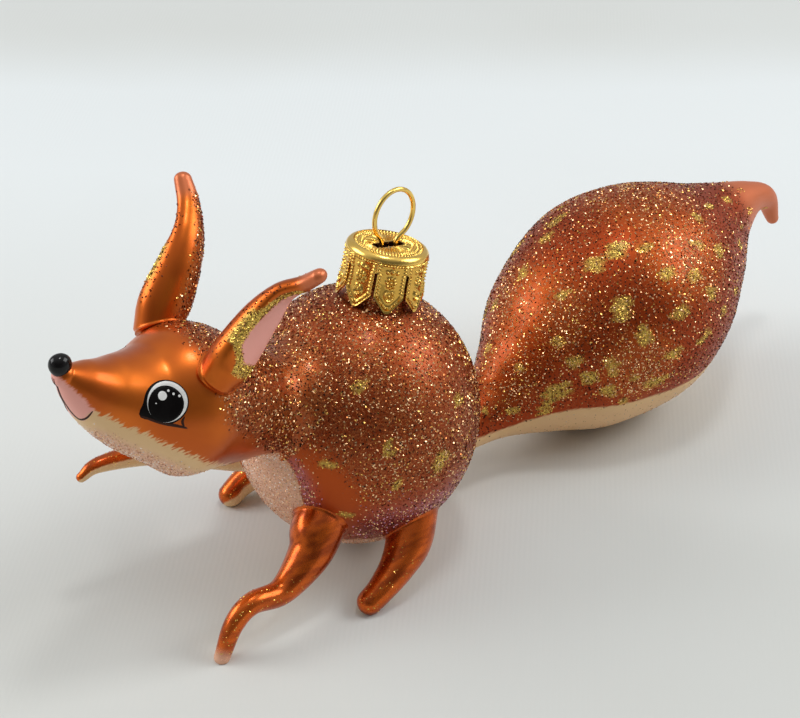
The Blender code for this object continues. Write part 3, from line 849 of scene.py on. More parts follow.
def scatter(name, skin, mask, density, finish, seed, flake_scale):
    """Stick one kind of glitter on a skin."""
    grain = glitter()
    thousand = 1000.0
    piece = run_tree(name, bpy.data.objects[skin].data, shared(scatter_flakes), Mask=mask,
                     Density=density * thousand, Flake=grain.flake * flake_scale, Tilt=grain.tilt, Seed=seed,
                     Finish=finish)
    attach(piece, "glass")


# Painted strokes on the head
# How far a drop's foot sinks under the surface, and from how many millimetres off its points are laid
PAINT_FOOT = -0.06 * MM
DROP_FROM = 6


def surface_of(piece):
    mesh = piece.data
    return BVHTree.FromPolygons([v.co for v in mesh.vertices], [p.vertices for p in mesh.polygons])


def laid(surface, point, face_way, lift):
    """A point dropped on a surface along a direction, and lifted off it."""
    start = Vector(point) + face_way * DROP_FROM * MM
    spot, normal, _, _ = surface.ray_cast(start, -face_way)
    if spot is None:
        spot, normal, _, _ = surface.find_nearest(Vector(point))
    return np.array(spot + normal * lift)


def paint_drop(name, surface, place, side_way, up_way, middle, radius_at, height, rings=9, around=48):
    """A thin drop of paint laid on a surface. Its outline is radius_at(angle) about its middle."""
    face_way = Vector(np.cross(side_way, up_way)).normalized()
    layers = [(height, share) for share in np.linspace(0.0, 1.0, rings)[1:]]
    rows = []
    for lift, share in layers + [(PAINT_FOOT, 1.0), (PAINT_FOOT, 0.5)]:
        row = []
        for k in range(around):
            angle = math.tau * k / around
            reach = radius_at(angle) * share
            across = middle[0] + reach * math.cos(angle)
            above = middle[1] + reach * math.sin(angle)
            row.append(laid(surface, place + side_way * across + up_way * above, face_way, lift))
        rows.append(row)
    centre = place + side_way * middle[0] + up_way * middle[1]
    poles = [laid(surface, centre, face_way, lift) for lift in (height, PAINT_FOOT)]
    return capped_tube(name, np.array(rows), *poles)


def brush_line(name, surface, guide, half_width, height, sides=8):
    """A brush line laid on a surface along guide points, thick in its middle and fine at its ends."""
    run = smooth_run([(*point, 0.0) for point in guide], steps=12)[:, :3]
    spots = []
    for point in run:
        spot, normal, _, _ = surface.find_nearest(Vector(point))
        spots.append((np.array(spot), np.array(normal)))
    centres = np.array([spot for spot, _ in spots])
    along = unit(np.gradient(centres, axis=0))
    rings = []
    for k, (spot, normal) in enumerate(spots):
        side = unit(np.cross(normal, along[k]))
        share = k / (len(spots) - 1)
        wide = half_width * (0.25 + 0.75 * math.sin(math.pi * share) ** 0.5)
        ring = []
        for corner in range(sides):
            angle = math.tau * corner / sides
            ring.append(spot + side * wide * math.cos(angle) + normal * height * math.sin(angle))
        rings.append(ring)
    return capped_tube(name, np.array(rings), centres[0] - along[0] * half_width * 0.2,
                       centres[-1] + along[-1] * half_width * 0.2)


# Operators, one for each piece or group of like pieces
# The body: half widths of the cream breast at heights up it
BREAST_HEIGHTS = (10.0, 14.0, 18.0, 21.5, 24.0, 25.7, 26.7, 29.0)
BREAST_HALF_WIDTHS = (5.5, 7.2, 8.6, 8.3, 7.2, 5.6, 4.3, 1.0)
BREAST_BACK, BREAST_TOP = -36.0, 30.0
BELLY_TOP, BELLY_HALF_WIDTH = 8.6, 17.0
# The line that the glitter comes down to, higher in front and lower behind, and places with less of it
GLITTER_LINE, FRONT_RISE, BACK_FALL = 19.5, 9.0, 4.0
SATIN_PLACE, SATIN_SPREAD = (11.6, -40.6, 23.0), 14.0
# Painted shade where the bulb faces the camera: fewer copper flakes and more dark ones
SHADED_PLACE, SHADED_SPREAD = (15.0, -33.5, 32.5), 26.0
# Purple glitter low on the flanks and beside the breast
FLANK_HEIGHT, FLANK_HALF = 13.0, 4.0
BESIDE_BREAST, BESIDE_HALF = 1.0, 1.3
# Gold dabs, each with its reach
BODY_DABS = (
    (12.1, -40.0, 25.9, 1.1), (19.9, -24.0, 23.4, 1.8), (18.6, -31.5, 21.9, 0.9), (13.8, -37.8, 16.5, 1.1),
    (17.5, -32.5, 28.2, 1.0), (11.6, -33.1, 37.3, 1.0), (17.6, -18.0, 31.0, 1.1), (9.0, -9.5, 33.0, 1.3))


class ORNAMENT_OT_body(bpy.types.Operator):
    """Make the body bulb with its neck, and its painted masks"""

    bl_idname = "ornament.body"
    bl_label = "Body bulb"

    def execute(self, context):
        size = sizes()
        around = circle(sides=144)
        outline = self.outline(size)
        rings = np.array([[(r * math.cos(a), r * math.sin(a), h) for a in around] for r, h in outline])
        inner_half = size.bulb_half_height - size.glass_wall
        poles = from_neck(np.array([(0.0, 0.0, -size.bulb_half_height), (0.0, 0.0, -inner_half)]))
        mesh = capped_tube("body_skin", from_neck(rings), *poles)
        self.paint(mesh)
        finish = lacquer("body_lacquer", clouds=95.0, brush=0.5, satin=0.34)
        finish_piece(mesh, finish, "glass", "lacquered_glass", "body_bulb")
        return {"FINISHED"}

    def outline(self, size):
        """Radius and height of the glass, from the bulb's foot over the lip to the foot's inner face."""
        wall = size.glass_wall
        fillet = size.neck_fillet
        meets = math.acos((size.neck_radius + fillet) / size.bulb_radius)
        angles = np.linspace(-math.pi / 2, meets, 73)[1:]
        outer = [(size.bulb_radius * math.cos(a), size.bulb_half_height * math.sin(a)) for a in angles]
        inner = [((size.bulb_radius - wall) * math.cos(a), (size.bulb_half_height - wall) * math.sin(a))
                 for a in angles[::4]]
        foot = outer[-1][1]
        bend = [(size.neck_radius + fillet * (1 - math.sin(a)), foot + fillet * (1 - math.cos(a)))
                for a in np.linspace(0.0, math.pi / 2, 7)[1:]]
        top = size.bulb_half_height + size.neck_rise
        lip = 0.5 * wall
        round_lip = [(size.neck_radius - lip + lip * math.cos(a), top - lip + lip * math.sin(a))
                     for a in np.linspace(0.0, math.pi, 9)]
        bore = (size.neck_radius - wall, foot + fillet)
        return outer + bend + round_lip + [bore] + inner[::-1]

    def paint(self, mesh):
        x, y, z = (corners(mesh) / MM).T
        aside = np.abs(x)
        edge = np.interp(z, BREAST_HEIGHTS, BREAST_HALF_WIDTHS)
        breast = np.minimum(edge - aside, np.minimum(BREAST_BACK - y, BREAST_TOP - z))
        belly = np.minimum(BELLY_TOP - z, BELLY_HALF_WIDTH - aside)
        cream = np.maximum(breast, belly)
        line = GLITTER_LINE + FRONT_RISE * ramp(-34.5, -41.5, y) - BACK_FALL * ramp(-26.0, -8.0, y)
        satin = patch(aside, y, z, SATIN_PLACE, SATIN_SPREAD)
        covered = ramp(-4.5, 4.0, z - line) * ramp(1.5, -1.0, cream) * (1.0 - satin)
        # Painted shade where the bulb faces the camera: less copper and more dark flakes
        shaded = patch(aside, y, z, SHADED_PLACE, SHADED_SPREAD)
        copper = covered * (0.25 + 0.75 * clumped(x, y, z)) * (1.0 - 0.75 * shaded)
        dark = covered * np.maximum(shaded, 1.0 - clumped(y, z, x))
        flank = ridge(z - FLANK_HEIGHT, FLANK_HALF) * ramp(10.0, 14.0, aside) * ramp(-38.0, -33.0, y)
        by_edge = ridge(aside - edge - BESIDE_BREAST, BESIDE_HALF) * ramp(-38.0, -40.5, y)
        beside = by_edge * ramp(12.0, 17.0, z) * ramp(28.0, 24.0, z)
        purple = np.maximum(flank, beside) * ramp(0.6, -0.6, cream)
        paint_zones(mesh, cream=cream, copper=copper, ground=0.6 * covered, dark=dark, purple=purple,
                    pale=ramp(-0.6, 0.4, cream), dabs=dabbed(x, y, z, BODY_DABS),
                    russet=np.maximum(0.75, 0.9 * flank))


class ORNAMENT_OT_head(bpy.types.Operator):
    """Make the head with its muzzle and throat, and its painted masks"""

    bl_idname = "ornament.head"
    bl_label = "Head"

    def execute(self, context):
        size = sizes()
        run = domed(head_run(steps=24))
        offsets = ring_offsets(run, sides=112)
        collar = size.collar * (0.5 + 1.3 * ramp(-0.3, 0.8, unit(offsets[0])[:, 2]))
        mesh = limb_mesh("head_skin", run[:, :3], offsets, bulb_clearance, collar, rows=130)
        self.paint(mesh)
        finish = lacquer("head_lacquer", clouds=120.0, brush=1.9, gloss=0.20)
        finish_piece(mesh, finish, "glass", "lacquered_glass", "head_bulb")
        return {"FINISHED"}

    def paint(self, mesh):
        x, y, z = (corners(mesh) / MM).T
        aside = np.abs(x)
        jaw_back, jaw_up, jaw_slope, jaw_stretch = -74.8, 46.9, 0.84, 1.306
        jaw = (jaw_up - jaw_slope * (y - jaw_back) - z) / jaw_stretch
        throat_top, throat_half_width, throat_front = 28.2, 5.2, -57.0
        throat = np.minimum.reduce([throat_top - z, throat_half_width - aside, y - throat_front])
        cream = np.maximum(jaw, throat)
        mouth_up, mouth_aside = 44.72, 1.63
        mouth = mouth_up + 0.46 * np.maximum(aside - mouth_aside, 0.0) ** 1.9
        lip_back, lip_up, lip_slope, lip_stretch = -75.27, 47.96, 1.572, 1.185
        upper_lip = (-(y - lip_back) - (z - lip_up) / lip_slope) / lip_stretch
        lips = np.minimum(upper_lip, (z - mouth) / 1.2)
        nape_back, nape_up = -57.5, 41.0
        nape = nape_back + 0.85 * np.maximum(nape_up - z, 0.0)
        covered = ramp(-1.4, 1.8, y - nape) * ramp(0.5, -1.5, cream)
        chin = ramp(1.6, 3.6, cream) * ramp(-75.5, -73.5, y)
        breast = ramp(-0.5, 0.5, cream) * ramp(-57.0, -53.0, y)
        cheek = ramp(3.0, 0.6, np.abs(cream + 1.6))
        paint_zones(mesh, cream=cream, pink=lips, copper=covered * (0.3 + 0.7 * clumped(x, y, z)),
                    ground=0.6 * covered, dark=0.8 * covered, pale=np.maximum(chin, breast),
                    russet=0.45 * cheek * ramp(-71.0, -66.0, y))


# The tail: clouds of copper glitter, which partly paint its highlights, and the gold dabs, each with its
# reach
TAIL_CLOUDS = ((4, 11, 29, 8.5), (13, 38, 35, 8.5), (17, 24, 20, 6.5), (2, 40, 42, 9.0), (4, 5, 19, 5.0))
TAIL_DABS = (
    (7, 27, 37, 1.7), (10, 31, 37, 1.3), (6, 23, 35, 1.5), (5, 17, 31, 1.0), (14, 32, 34, 1.5),
    (16, 37, 32, 1.5), (13, 23, 30, 1.9), (18, 32, 28, 1.4), (17, 25, 26, 1.7), (20, 37, 22, 1.5),
    (8, 13, 25, 1.1), (11, 14, 22, 1.2), (19, 30, 21, 1.5), (15, 19, 21, 1.5), (13, 16, 19, 1.8),
    (15, 19, 16, 1.6), (18, 27, 16, 1.8), (10, 11, 16, 2.4), (8, 46, 38, 1.1), (6, 52, 37, 1.0),
    (4, 59, 35, 0.9), (5, 64, 31, 1.1), (14, 46, 33, 1.4), (11, 55, 30, 1.1), (18, 40, 29, 1.3),
    (18, 43, 24, 1.3), (13, 41, 36, 1.2), (6, 5, 13, 1.2), (3, 1, 13, 1.0), (2, 73, 27, 0.9),
    (2, 65, 34, 0.7), (8, 58, 31, 0.9), (4, 8, 20, 0.9), (9, 10, 13, 1.5), (16, 22, 14, 1.0),
    (17, 23, 18, 0.8), (16, 49, 25, 0.9))


class ORNAMENT_OT_tail(bpy.types.Operator):
    """Make the tail with its hooked tip, and its painted masks"""

    bl_idname = "ornament.tail"
    bl_label = "Tail"

    def execute(self, context):
        run = domed(tail_run(steps=18))
        offsets = ring_offsets(run, sides=144)
        mesh = limb_mesh("tail_skin", run[:, :3], offsets, bulb_clearance, 0.3 * sizes().collar, rows=150)
        self.paint(mesh)
        finish = lacquer("tail_lacquer", clouds=80.0, brush=0.55, satin=0.40)
        finish_piece(mesh, finish, "glass", "lacquered_glass", "tail_bulb")
        return {"FINISHED"}

    def paint(self, mesh):
        x, y, z = (corners(mesh) / MM).T
        aside = np.abs(x)
        cream_top, cream_lift_from = 12.4, 34.0
        cream = cream_top - z + 0.10 * np.maximum(y - cream_lift_from, 0.0) - 2.8 * ramp(16.0, 2.0, y)
        tip = ramp(60.0, 66.0, y)
        covered = ramp(1.0, -3.0, cream) * (1.0 - tip)
        clouds = np.zeros_like(x)
        for *middle, reach in TAIL_CLOUDS:
            clouds = np.maximum(clouds, patch(aside, y, z, middle, reach ** 2))
        # Painted shade between the clouds: darker russet lacquer and more dark flakes
        between = ramp(0.55, 0.1, clouds)
        copper = covered * (0.22 + 0.78 * clouds) * (0.3 + 0.7 * clumped(x, y, z))
        dabs = dabbed(x, y, z, TAIL_DABS) * ramp(0.8, 0.0, cream)
        paint_zones(mesh, cream=cream, copper=copper, ground=0.5 * copper, dark=covered * between, dabs=dabs,
                    pale=0.15 * ramp(0.0, 3.0, cream), russet=0.65 + 0.30 * between, bare=tip)


# The ears: root in head radii, then middle line in ear lengths, with shares of the half width and depth
EAR_ROOT = (0.726, 0.088, 0.484)
EAR_LINE = (
    (-0.012, 0.025, 0.045), (0.036, 0.166, 0.204), (0.091, 0.346, 0.428), (0.150, 0.471, 0.590),
    (0.275, 0.571, 0.714), (0.403, 0.622, 0.840))
EAR_WIDTHS = (0.60, 0.84, 0.70, 0.52, 0.37, 0.28)
EAR_DEPTHS = (0.85, 1.00, 0.86, 0.54, 0.38, 0.32)
# The left ear's tip droops
LEFT_DROOP = (-0.030, -0.037, -0.070)
DROOP_SHARES = (0.0, 0.0, 0.0, 0.2, 0.6, 1.0)


class ORNAMENT_OT_ears(bpy.types.Operator):
    """Make the two ears, drawn flat with a hollow pressed on the outer side"""

    bl_idname = "ornament.ears"
    bl_label = "Ears"

    def execute(self, context):
        finish = lacquer("ear_lacquer", clouds=160.0, brush=0.25)
        carrier = run_clearance(domed(head_run(steps=6)))
        for name, side in (("left", 1.0), ("right", -1.0)):
            mesh = self.ear("ear_skin_" + name, side, carrier)
            finish_piece(mesh, finish, "glass", "lacquered_glass", "ear_" + name)
        return {"FINISHED"}

    def ear(self, name, side, carrier):
        size = sizes()
        flip = np.array((side, 1.0, 1.0))
        base = head_centre() + size.head_radius * np.array(EAR_ROOT)
        droop = np.array(LEFT_DROOP) if side > 0.0 else np.zeros(3)
        line = base + size.ear_length * (np.array(EAR_LINE) + np.outer(DROOP_SHARES, droop))
        run = smooth_run(np.column_stack([line, EAR_WIDTHS]), steps=16)
        depth = smooth_run(np.column_stack([line, EAR_DEPTHS]), steps=16)[:, 3]
        part = np.linspace(0.0, 1.0, len(run))
        half_wide = np.maximum(size.ear_half_width * run[:, 3], size.ear_tip)
        half_thick = np.maximum(size.ear_half_thick * depth, 0.9 * size.ear_tip)
        hollow_from, hollow_length = 0.12, 0.70
        pressed = np.clip((part - hollow_from) / hollow_length, 0.0, 1.0)
        dent = size.ear_hollow * np.sin(math.pi * pressed) ** 0.7 * depth
        outward = np.array((math.cos(size.ear_turn), math.sin(size.ear_turn), 0.0))
        along = unit(np.gradient(run[:, :3], axis=0))
        wide = unit(np.cross(along, outward))
        thick = np.cross(wide, along)
        around = circle(sides=64)
        lift = half_thick[:, None] * np.sin(around) - dent[:, None] * np.maximum(np.sin(around), 0.0) ** 2
        spread = half_wide[:, None] * np.cos(around)
        offsets = spread[..., None] * wide[:, None] + lift[..., None] * thick[:, None]
        falls = np.cos(np.linspace(0.0, math.pi / 2, 9)[1:])
        swell = np.sqrt(1.0 - falls ** 2)
        tip = run[-1, :3] + np.outer(size.ear_tip * swell, along[-1])
        heel = run[0, :3] - np.outer(0.35 * half_wide[0] * swell[::-1], along[0])
        points = np.vstack([heel, run[:, :3], tip]) * flip
        offsets = np.vstack([falls[::-1, None, None] * offsets[0], offsets,
                             falls[:, None, None] * offsets[-1]])
        rows = 84
        mesh = limb_mesh(name, points, offsets * flip, carrier, size.weld, rows)
        outer_face = np.append(np.tile(np.sin(around), rows - 1), (0.0, 0.0))
        edge = np.append(np.tile(np.cos(around), rows - 1), (0.0, 0.0))
        across = np.interp(along_limb(mesh), part, half_wide) / MM
        self.paint(mesh, outer_face, edge, across, size.ear_length / MM)
        return mesh

    def paint(self, mesh, outer_face, edge, across, reach):
        """Pink in the hollow, gold glitter round it, dark edges and a bare tip."""
        far = along_limb(mesh)
        leaf_root, leaf_end, leaf_back, leaf_rim = 0.23, 0.76, 1.02, 0.05
        leaf = 0.70 - 0.75 * ramp(0.40, 0.74, far) - 0.55 * ramp(0.34, 0.22, far)
        pink = np.minimum.reduce([(edge + leaf) * across, (leaf_back - edge) * 1.5 * across,
                                  (far - leaf_root) * reach, (leaf_end - far) * reach,
                                  (outer_face - leaf_rim) * across])
        gold = ramp(-1.7, -1.4, pink) * ramp(0.15, -0.1, pink) * ramp(-0.25, 0.0, outer_face)
        within = ramp(0.12, 0.25, far) * ramp(0.92, 0.82, far)
        back_edge = ramp(0.35, -0.1, outer_face) * ramp(-0.15, 0.5, edge) * within
        front_edge = ridge(edge + 0.95, 0.10) * ramp(0.3, 0.0, outer_face) * within
        dark = np.maximum(back_edge, front_edge)
        russet = 0.5 * ramp(0.3, -0.6, outer_face) * ramp(0.3, 0.9, np.abs(edge))
        paint_zones(mesh, pink=pink, dabs=gold, copper=0.8 * back_edge, dark=dark, ground=0.5 * back_edge,
                    russet=russet, bare=ramp(0.80, 0.90, far))


# Shares of the way from a foot's radius to its root's, at each knee of a leg
STANDING_SHARES = (0.80, 1.0, 0.74, 0.36, 0.24, 0.18, 0.08)
RAISED_SHARES = (0.70, 0.62, 0.46, 0.34, 0.14, 0.0)
HIND_SHARES = (1.0, 0.88, 0.42, 0.10, 0.0)


class ORNAMENT_OT_legs(bpy.types.Operator):
    """Make the four drawn legs"""

    bl_idname = "ornament.legs"
    bl_label = "Legs"

    def execute(self, context):
        size = sizes()
        radius, height = size.bulb_radius, size.bulb_height
        # Each knee is its place out from the middle, ahead of the bulb's centre and up
        front_root = (0.36 * radius, 0.55 * radius, 0.70 * height)
        front_seam = (0.49 * radius, 0.80 * radius, 0.56 * height)
        spread, forward, knee = size.front_spread, size.front_forward, size.front_knee
        standing = (
            front_root, front_seam, (0.86 * spread, 0.51 * forward, knee),
            (0.95 * spread, 0.675 * forward, 0.69 * knee), (0.97 * spread, 0.833 * forward, 0.777 * knee),
            (0.98 * spread, 0.928 * forward, 0.562 * knee),
            (spread, forward, size.front_foot - size.sole_flat))
        spread, forward, lifted = size.raised_spread, size.raised_forward, size.raised_height
        raised = (
            front_root, (front_seam[0], front_seam[1], 0.74 * lifted),
            (0.80 * spread, 0.547 * forward, 0.87 * lifted), (0.92 * spread, 0.719 * forward, 0.985 * lifted),
            (0.98 * spread, 0.926 * forward, 1.049 * lifted), (spread, forward, lifted))
        spread, forward, knee = size.hind_spread, size.hind_forward, size.hind_knee
        hind = (
            (0.66 * radius, -0.06 * radius, 0.52 * height), (0.81 * radius, 0.13 * radius, 0.33 * height),
            (0.957 * spread, 0.51 * forward, knee), (spread, 0.82 * forward, 0.60 * knee),
            (spread, forward, size.hind_foot - size.sole_flat))
        finish = amber("leg_amber")
        front, foot = size.front_leg, size.front_foot
        self.leg("front_leg", "left", finish, standing, STANDING_SHARES, front, foot, pale_foot=0.9)
        self.leg("front_leg", "right", finish, raised, RAISED_SHARES, front, size.raised_foot)
        for name in ("left", "right"):
            self.leg("hind_leg", name, finish, hind, HIND_SHARES, size.hind_leg, size.hind_foot)
        return {"FINISHED"}

    def leg(self, kind, name, finish, knees, shares, root, foot, pale_foot=0.0):
        size = sizes()
        side = 1.0 if name == "left" else -1.0
        stations = [(side * out, -ahead - size.bulb_forward, up, foot + (root - foot) * share)
                    for (out, ahead, up), share in zip(knees, shares)]
        run = domed(smooth_run(stations, steps=14))
        offsets = ring_offsets(run, sides=36)
        mesh = limb_mesh(kind + "_skin_" + name, run[:, :3], offsets, bulb_clearance, size.weld, rows=72)
        for vert in mesh.vertices:
            vert.co.z = max(vert.co.z, 0.0)
        far = along_limb(mesh)
        normals = read_rows(mesh.vertex_normals, "vector", 3)
        down = -normals[:, 2]
        inner = -side * normals[:, 0]
        store(mesh, cream=3.0 * (0.75 * down + 0.70 * inner - 0.42), bare=pale_foot * ramp(0.90, 0.97, far),
              specks=ramp(0.30, 0.60, far) * ramp(1.0, 0.93, far) * ramp(0.5, -0.2, down))
        finish_piece(mesh, finish, "glass", "amber_glass", kind + "_" + name)


# The left eye: its place, and the directions that are back and above on it
EYE_PLACE = (7.31, -65.24, 45.68)
EYE_BACK = (0.360, 0.909, -0.209)
EYE_ABOVE = (-0.387, 0.335, 0.859)
# Back, above and radius of the white dots on the pupil
EYE_DOTS = ((0.46, 1.79, 0.18), (1.20, 1.34, 0.18), (2.04, 1.07, 0.19), (-1.38, 0.0, 0.10))
# Brush lines under the eye, back and above
EYE_LID = ((-3.42, -1.85), (-0.44, -2.92), (1.54, -3.33), (3.37, -3.74))
EYE_LASH = ((2.85, -1.9), (2.6, -2.7), (2.9, -3.5))
# From the nose down to the lip and up to the corner of the mouth
SMILE = (
    (0.2, -78.35, 51.9), (0.1, -77.95, 49.6), (0.3, -77.2, 47.0), (0.9, -76.5, 45.3),
    (1.63, -75.97, 44.72), (2.85, -75.58, 45.39), (3.74, -74.97, 46.75))
# Half widths and height of the brush lines
LID_HALF, LASH_HALF, SMILE_HALF = 0.26, 0.20, 0.22
BRUSH_HEIGHT = 0.05


class ORNAMENT_OT_face(bpy.types.Operator):
    """Paint the eyes and the mouth, and dab on the nose"""

    bl_idname = "ornament.face"
    bl_label = "Face"

    def execute(self, context):
        self.nose()
        surface = surface_of(bpy.data.objects["head_skin"])
        self.eyes(surface)
        self.lines(surface)
        return {"FINISHED"}

    def nose(self):
        size = sizes()
        tip = head_centre() + size.muzzle_reach * up_slope(size.muzzle_rise)
        way = up_slope(size.nose_rise)
        centre = tip + (size.muzzle_tip + size.nose_proud) * way
        around = circle(sides=40)
        behind = np.sin(around) + 0.25 * np.maximum(np.sin(around), 0.0)
        ring = np.outer(np.cos(around), (1.0, 0.0, 0.0)) + np.outer(behind, off_slope(size.nose_rise))
        narrowed = 0.90
        rings = []
        for a in np.linspace(-math.pi / 2, math.pi / 2, 25)[1:-1]:
            swell = 1.0 + 0.12 * max(0.0, -math.sin(a)) ** 2
            reach = narrowed * swell * math.cos(a)
            rings.append(centre + size.nose_radius * (math.sin(a) * way + reach * ring))
        mesh = capped_tube("nose_skin", np.array(rings), centre - size.nose_radius * way,
                           centre + size.nose_radius * way)
        finish = gloss_paint("nose_black", colours().black, 0.10, 0.22)
        finish_piece(mesh, finish, "glass", "black_glass", "nose_bead")

    def eye_ways(self):
        """The left eye's place, and its directions back and above, square to each other."""
        back = unit(np.array(EYE_BACK))
        above = np.array(EYE_ABOVE)
        return np.array(EYE_PLACE) * MM, back, unit(above - (above @ back) * back)

    def eyes(self, surface):
        place, back, above = self.eye_ways()
        black = gloss_paint("eye_black", colours().black, 0.35, 0.08)
        white = gloss_paint("eye_white", colours().white, 0.35, 0.3)

        def lash(angle):
            """An outline with a long inner corner, heavier in front."""
            plain, corner_long, corner_turn = 3.19, 1.05, math.radians(206.0)
            front_heavy, front_turn = 0.16, math.radians(170.0)
            corner = corner_long * max(0.0, math.cos(angle - corner_turn)) ** 24
            heavy = front_heavy * max(0.0, math.cos(angle - front_turn)) ** 2
            return plain + corner + heavy

        def disc(radius):
            return lambda angle: radius

        # Each drop has its middle back and above, its outline, its height and its paint
        drops = [("eye_outline", (0.19, 0.14), lash, 0.03, black),
                 ("eye_white", (0.26, 0.20), disc(2.95), 0.06, white),
                 ("eye_pupil", (0.07, -0.10), disc(2.62), 0.09, black),
                 ("eye_glint", (-0.44, 1.07), disc(0.66), 0.12, white)]
        for k, (across, up, radius) in enumerate(EYE_DOTS):
            drops.append((f"eye_dot_{k}", (across, up), disc(radius), 0.12, white))
        for name, middle, outline, height, finish in drops:
            mesh = paint_drop(name, surface, place, back * MM, above * MM, middle, outline, height * MM)
            finish_piece(turned_out(mesh, mirror=True), finish, "glass", "black_glass")

    def lines(self, surface):
        place, back, above = self.eye_ways()
        brown = gloss_paint("brush_brown", colours().brown, 0.40, 0.15)
        lid, lash = ([place + (back * across + above * up) * MM for across, up in line]
                     for line in (EYE_LID, EYE_LASH))
        smile = np.array(SMILE) * MM
        for name, guide, half_width in (("eye_lid", lid, LID_HALF), ("eye_lash", lash, LASH_HALF),
                                        ("mouth_line", smile, SMILE_HALF)):
            mesh = brush_line(name, surface, guide, half_width * MM, BRUSH_HEIGHT * MM)
            finish_piece(turned_out(mesh, mirror=True), brown, "glass", "black_glass")


# Kinds of glitter on each lacquered skin, and where one lies thicker or thinner than elsewhere
GLITTERED = {
    "body_skin": ("copper", "dark", "dab", "pale", "purple"),
    "head_skin": ("copper", "dark", "pale"),
    "tail_skin": ("copper", "dark", "dab", "pale"),
    "ear_skin_left": ("copper", "dark", "dab"),
    "ear_skin_right": ("copper", "dark", "dab"),
}
THICKNESS = {("tail_skin", "copper"): 1.5, ("tail_skin", "pale"): 0.6}
LEG_SKINS = ("front_leg_skin_left", "front_leg_skin_right", "hind_leg_skin_left", "hind_leg_skin_right")
SKIN_SEED_STEP, FIRST_LEG_SEED = 11, 70


class ORNAMENT_OT_glitter(bpy.types.Operator):
    """Stick the glitter on the lacquer"""

    bl_idname = "ornament.glitter"
    bl_label = "Glitter"

    def execute(self, context):
        grain = glitter()
        tone = colours()
        mixed_copper = (tone.maroon, tone.copper, tone.rose, tone.copper, tone.gold, tone.rose, tone.rose)
        dab_gold = (tone.maroon, tone.dab, tone.gold, tone.dab, tone.dab)
        violet = (tone.purple, tone.maroon, tone.rose)
        blushing = (tone.blush, tone.pale, tone.rose)
        # Each kind has its mask, density, finish and flake size
        kinds = {
            "copper": ("copper", grain.copper, flake_finish("glitter_copper", mixed_copper), 1.2),
            # Dark flakes partly paint the reflection of the dim room
            "dark": ("dark", grain.dark, flake_finish("glitter_dark", (tone.dark, tone.maroon), 0.4), 1.15),
            "dab": ("dabs", grain.dab, flake_finish("glitter_dab", dab_gold, 0.24, 0.7), 0.9),
            "pale": ("pale", grain.pale, flake_finish("glitter_pale", blushing, 0.22, 0.5), 0.9),
            "purple": ("purple", grain.purple, flake_finish("glitter_purple", violet), 1.0),
            "fleck": ("specks", grain.fleck, flake_finish("glitter_fleck", (tone.gold, tone.dab)), 0.8),
        }
        for row, (skin, names) in enumerate(GLITTERED.items()):
            for k, name in enumerate(names):
                mask, density, finish, flake = kinds[name]
                density = density * THICKNESS.get((skin, name), 1.0)
                piece = skin.replace("skin", "glitter_" + name)
                seed = SKIN_SEED_STEP * row + k
                scatter(piece, skin, mask, density, finish, seed, flake)
        mask, density, finish, flake = kinds["fleck"]
        for k, leg in enumerate(LEG_SKINS):
            piece = leg.replace("skin", "glitter")
            scatter(piece, leg, mask, density, finish, FIRST_LEG_SEED + k, flake)
        return {"FINISHED"}


# Rows and columns of a petal's sheet, and the slope of the notches at the slits' feet
PETAL_COLUMNS, TOP_ROWS, SIDE_ROWS = 34, 34, 100
NOTCH_SLOPE = math.sqrt(2.0)
# Across, up and radius of the beads on a petal, in millimetres
PETAL_BEADS = ((0.0, 6.75, 0.34), (-0.85, 6.6, 0.22), (0.85, 6.6, 0.22), (0.0, 7.5, 0.20))


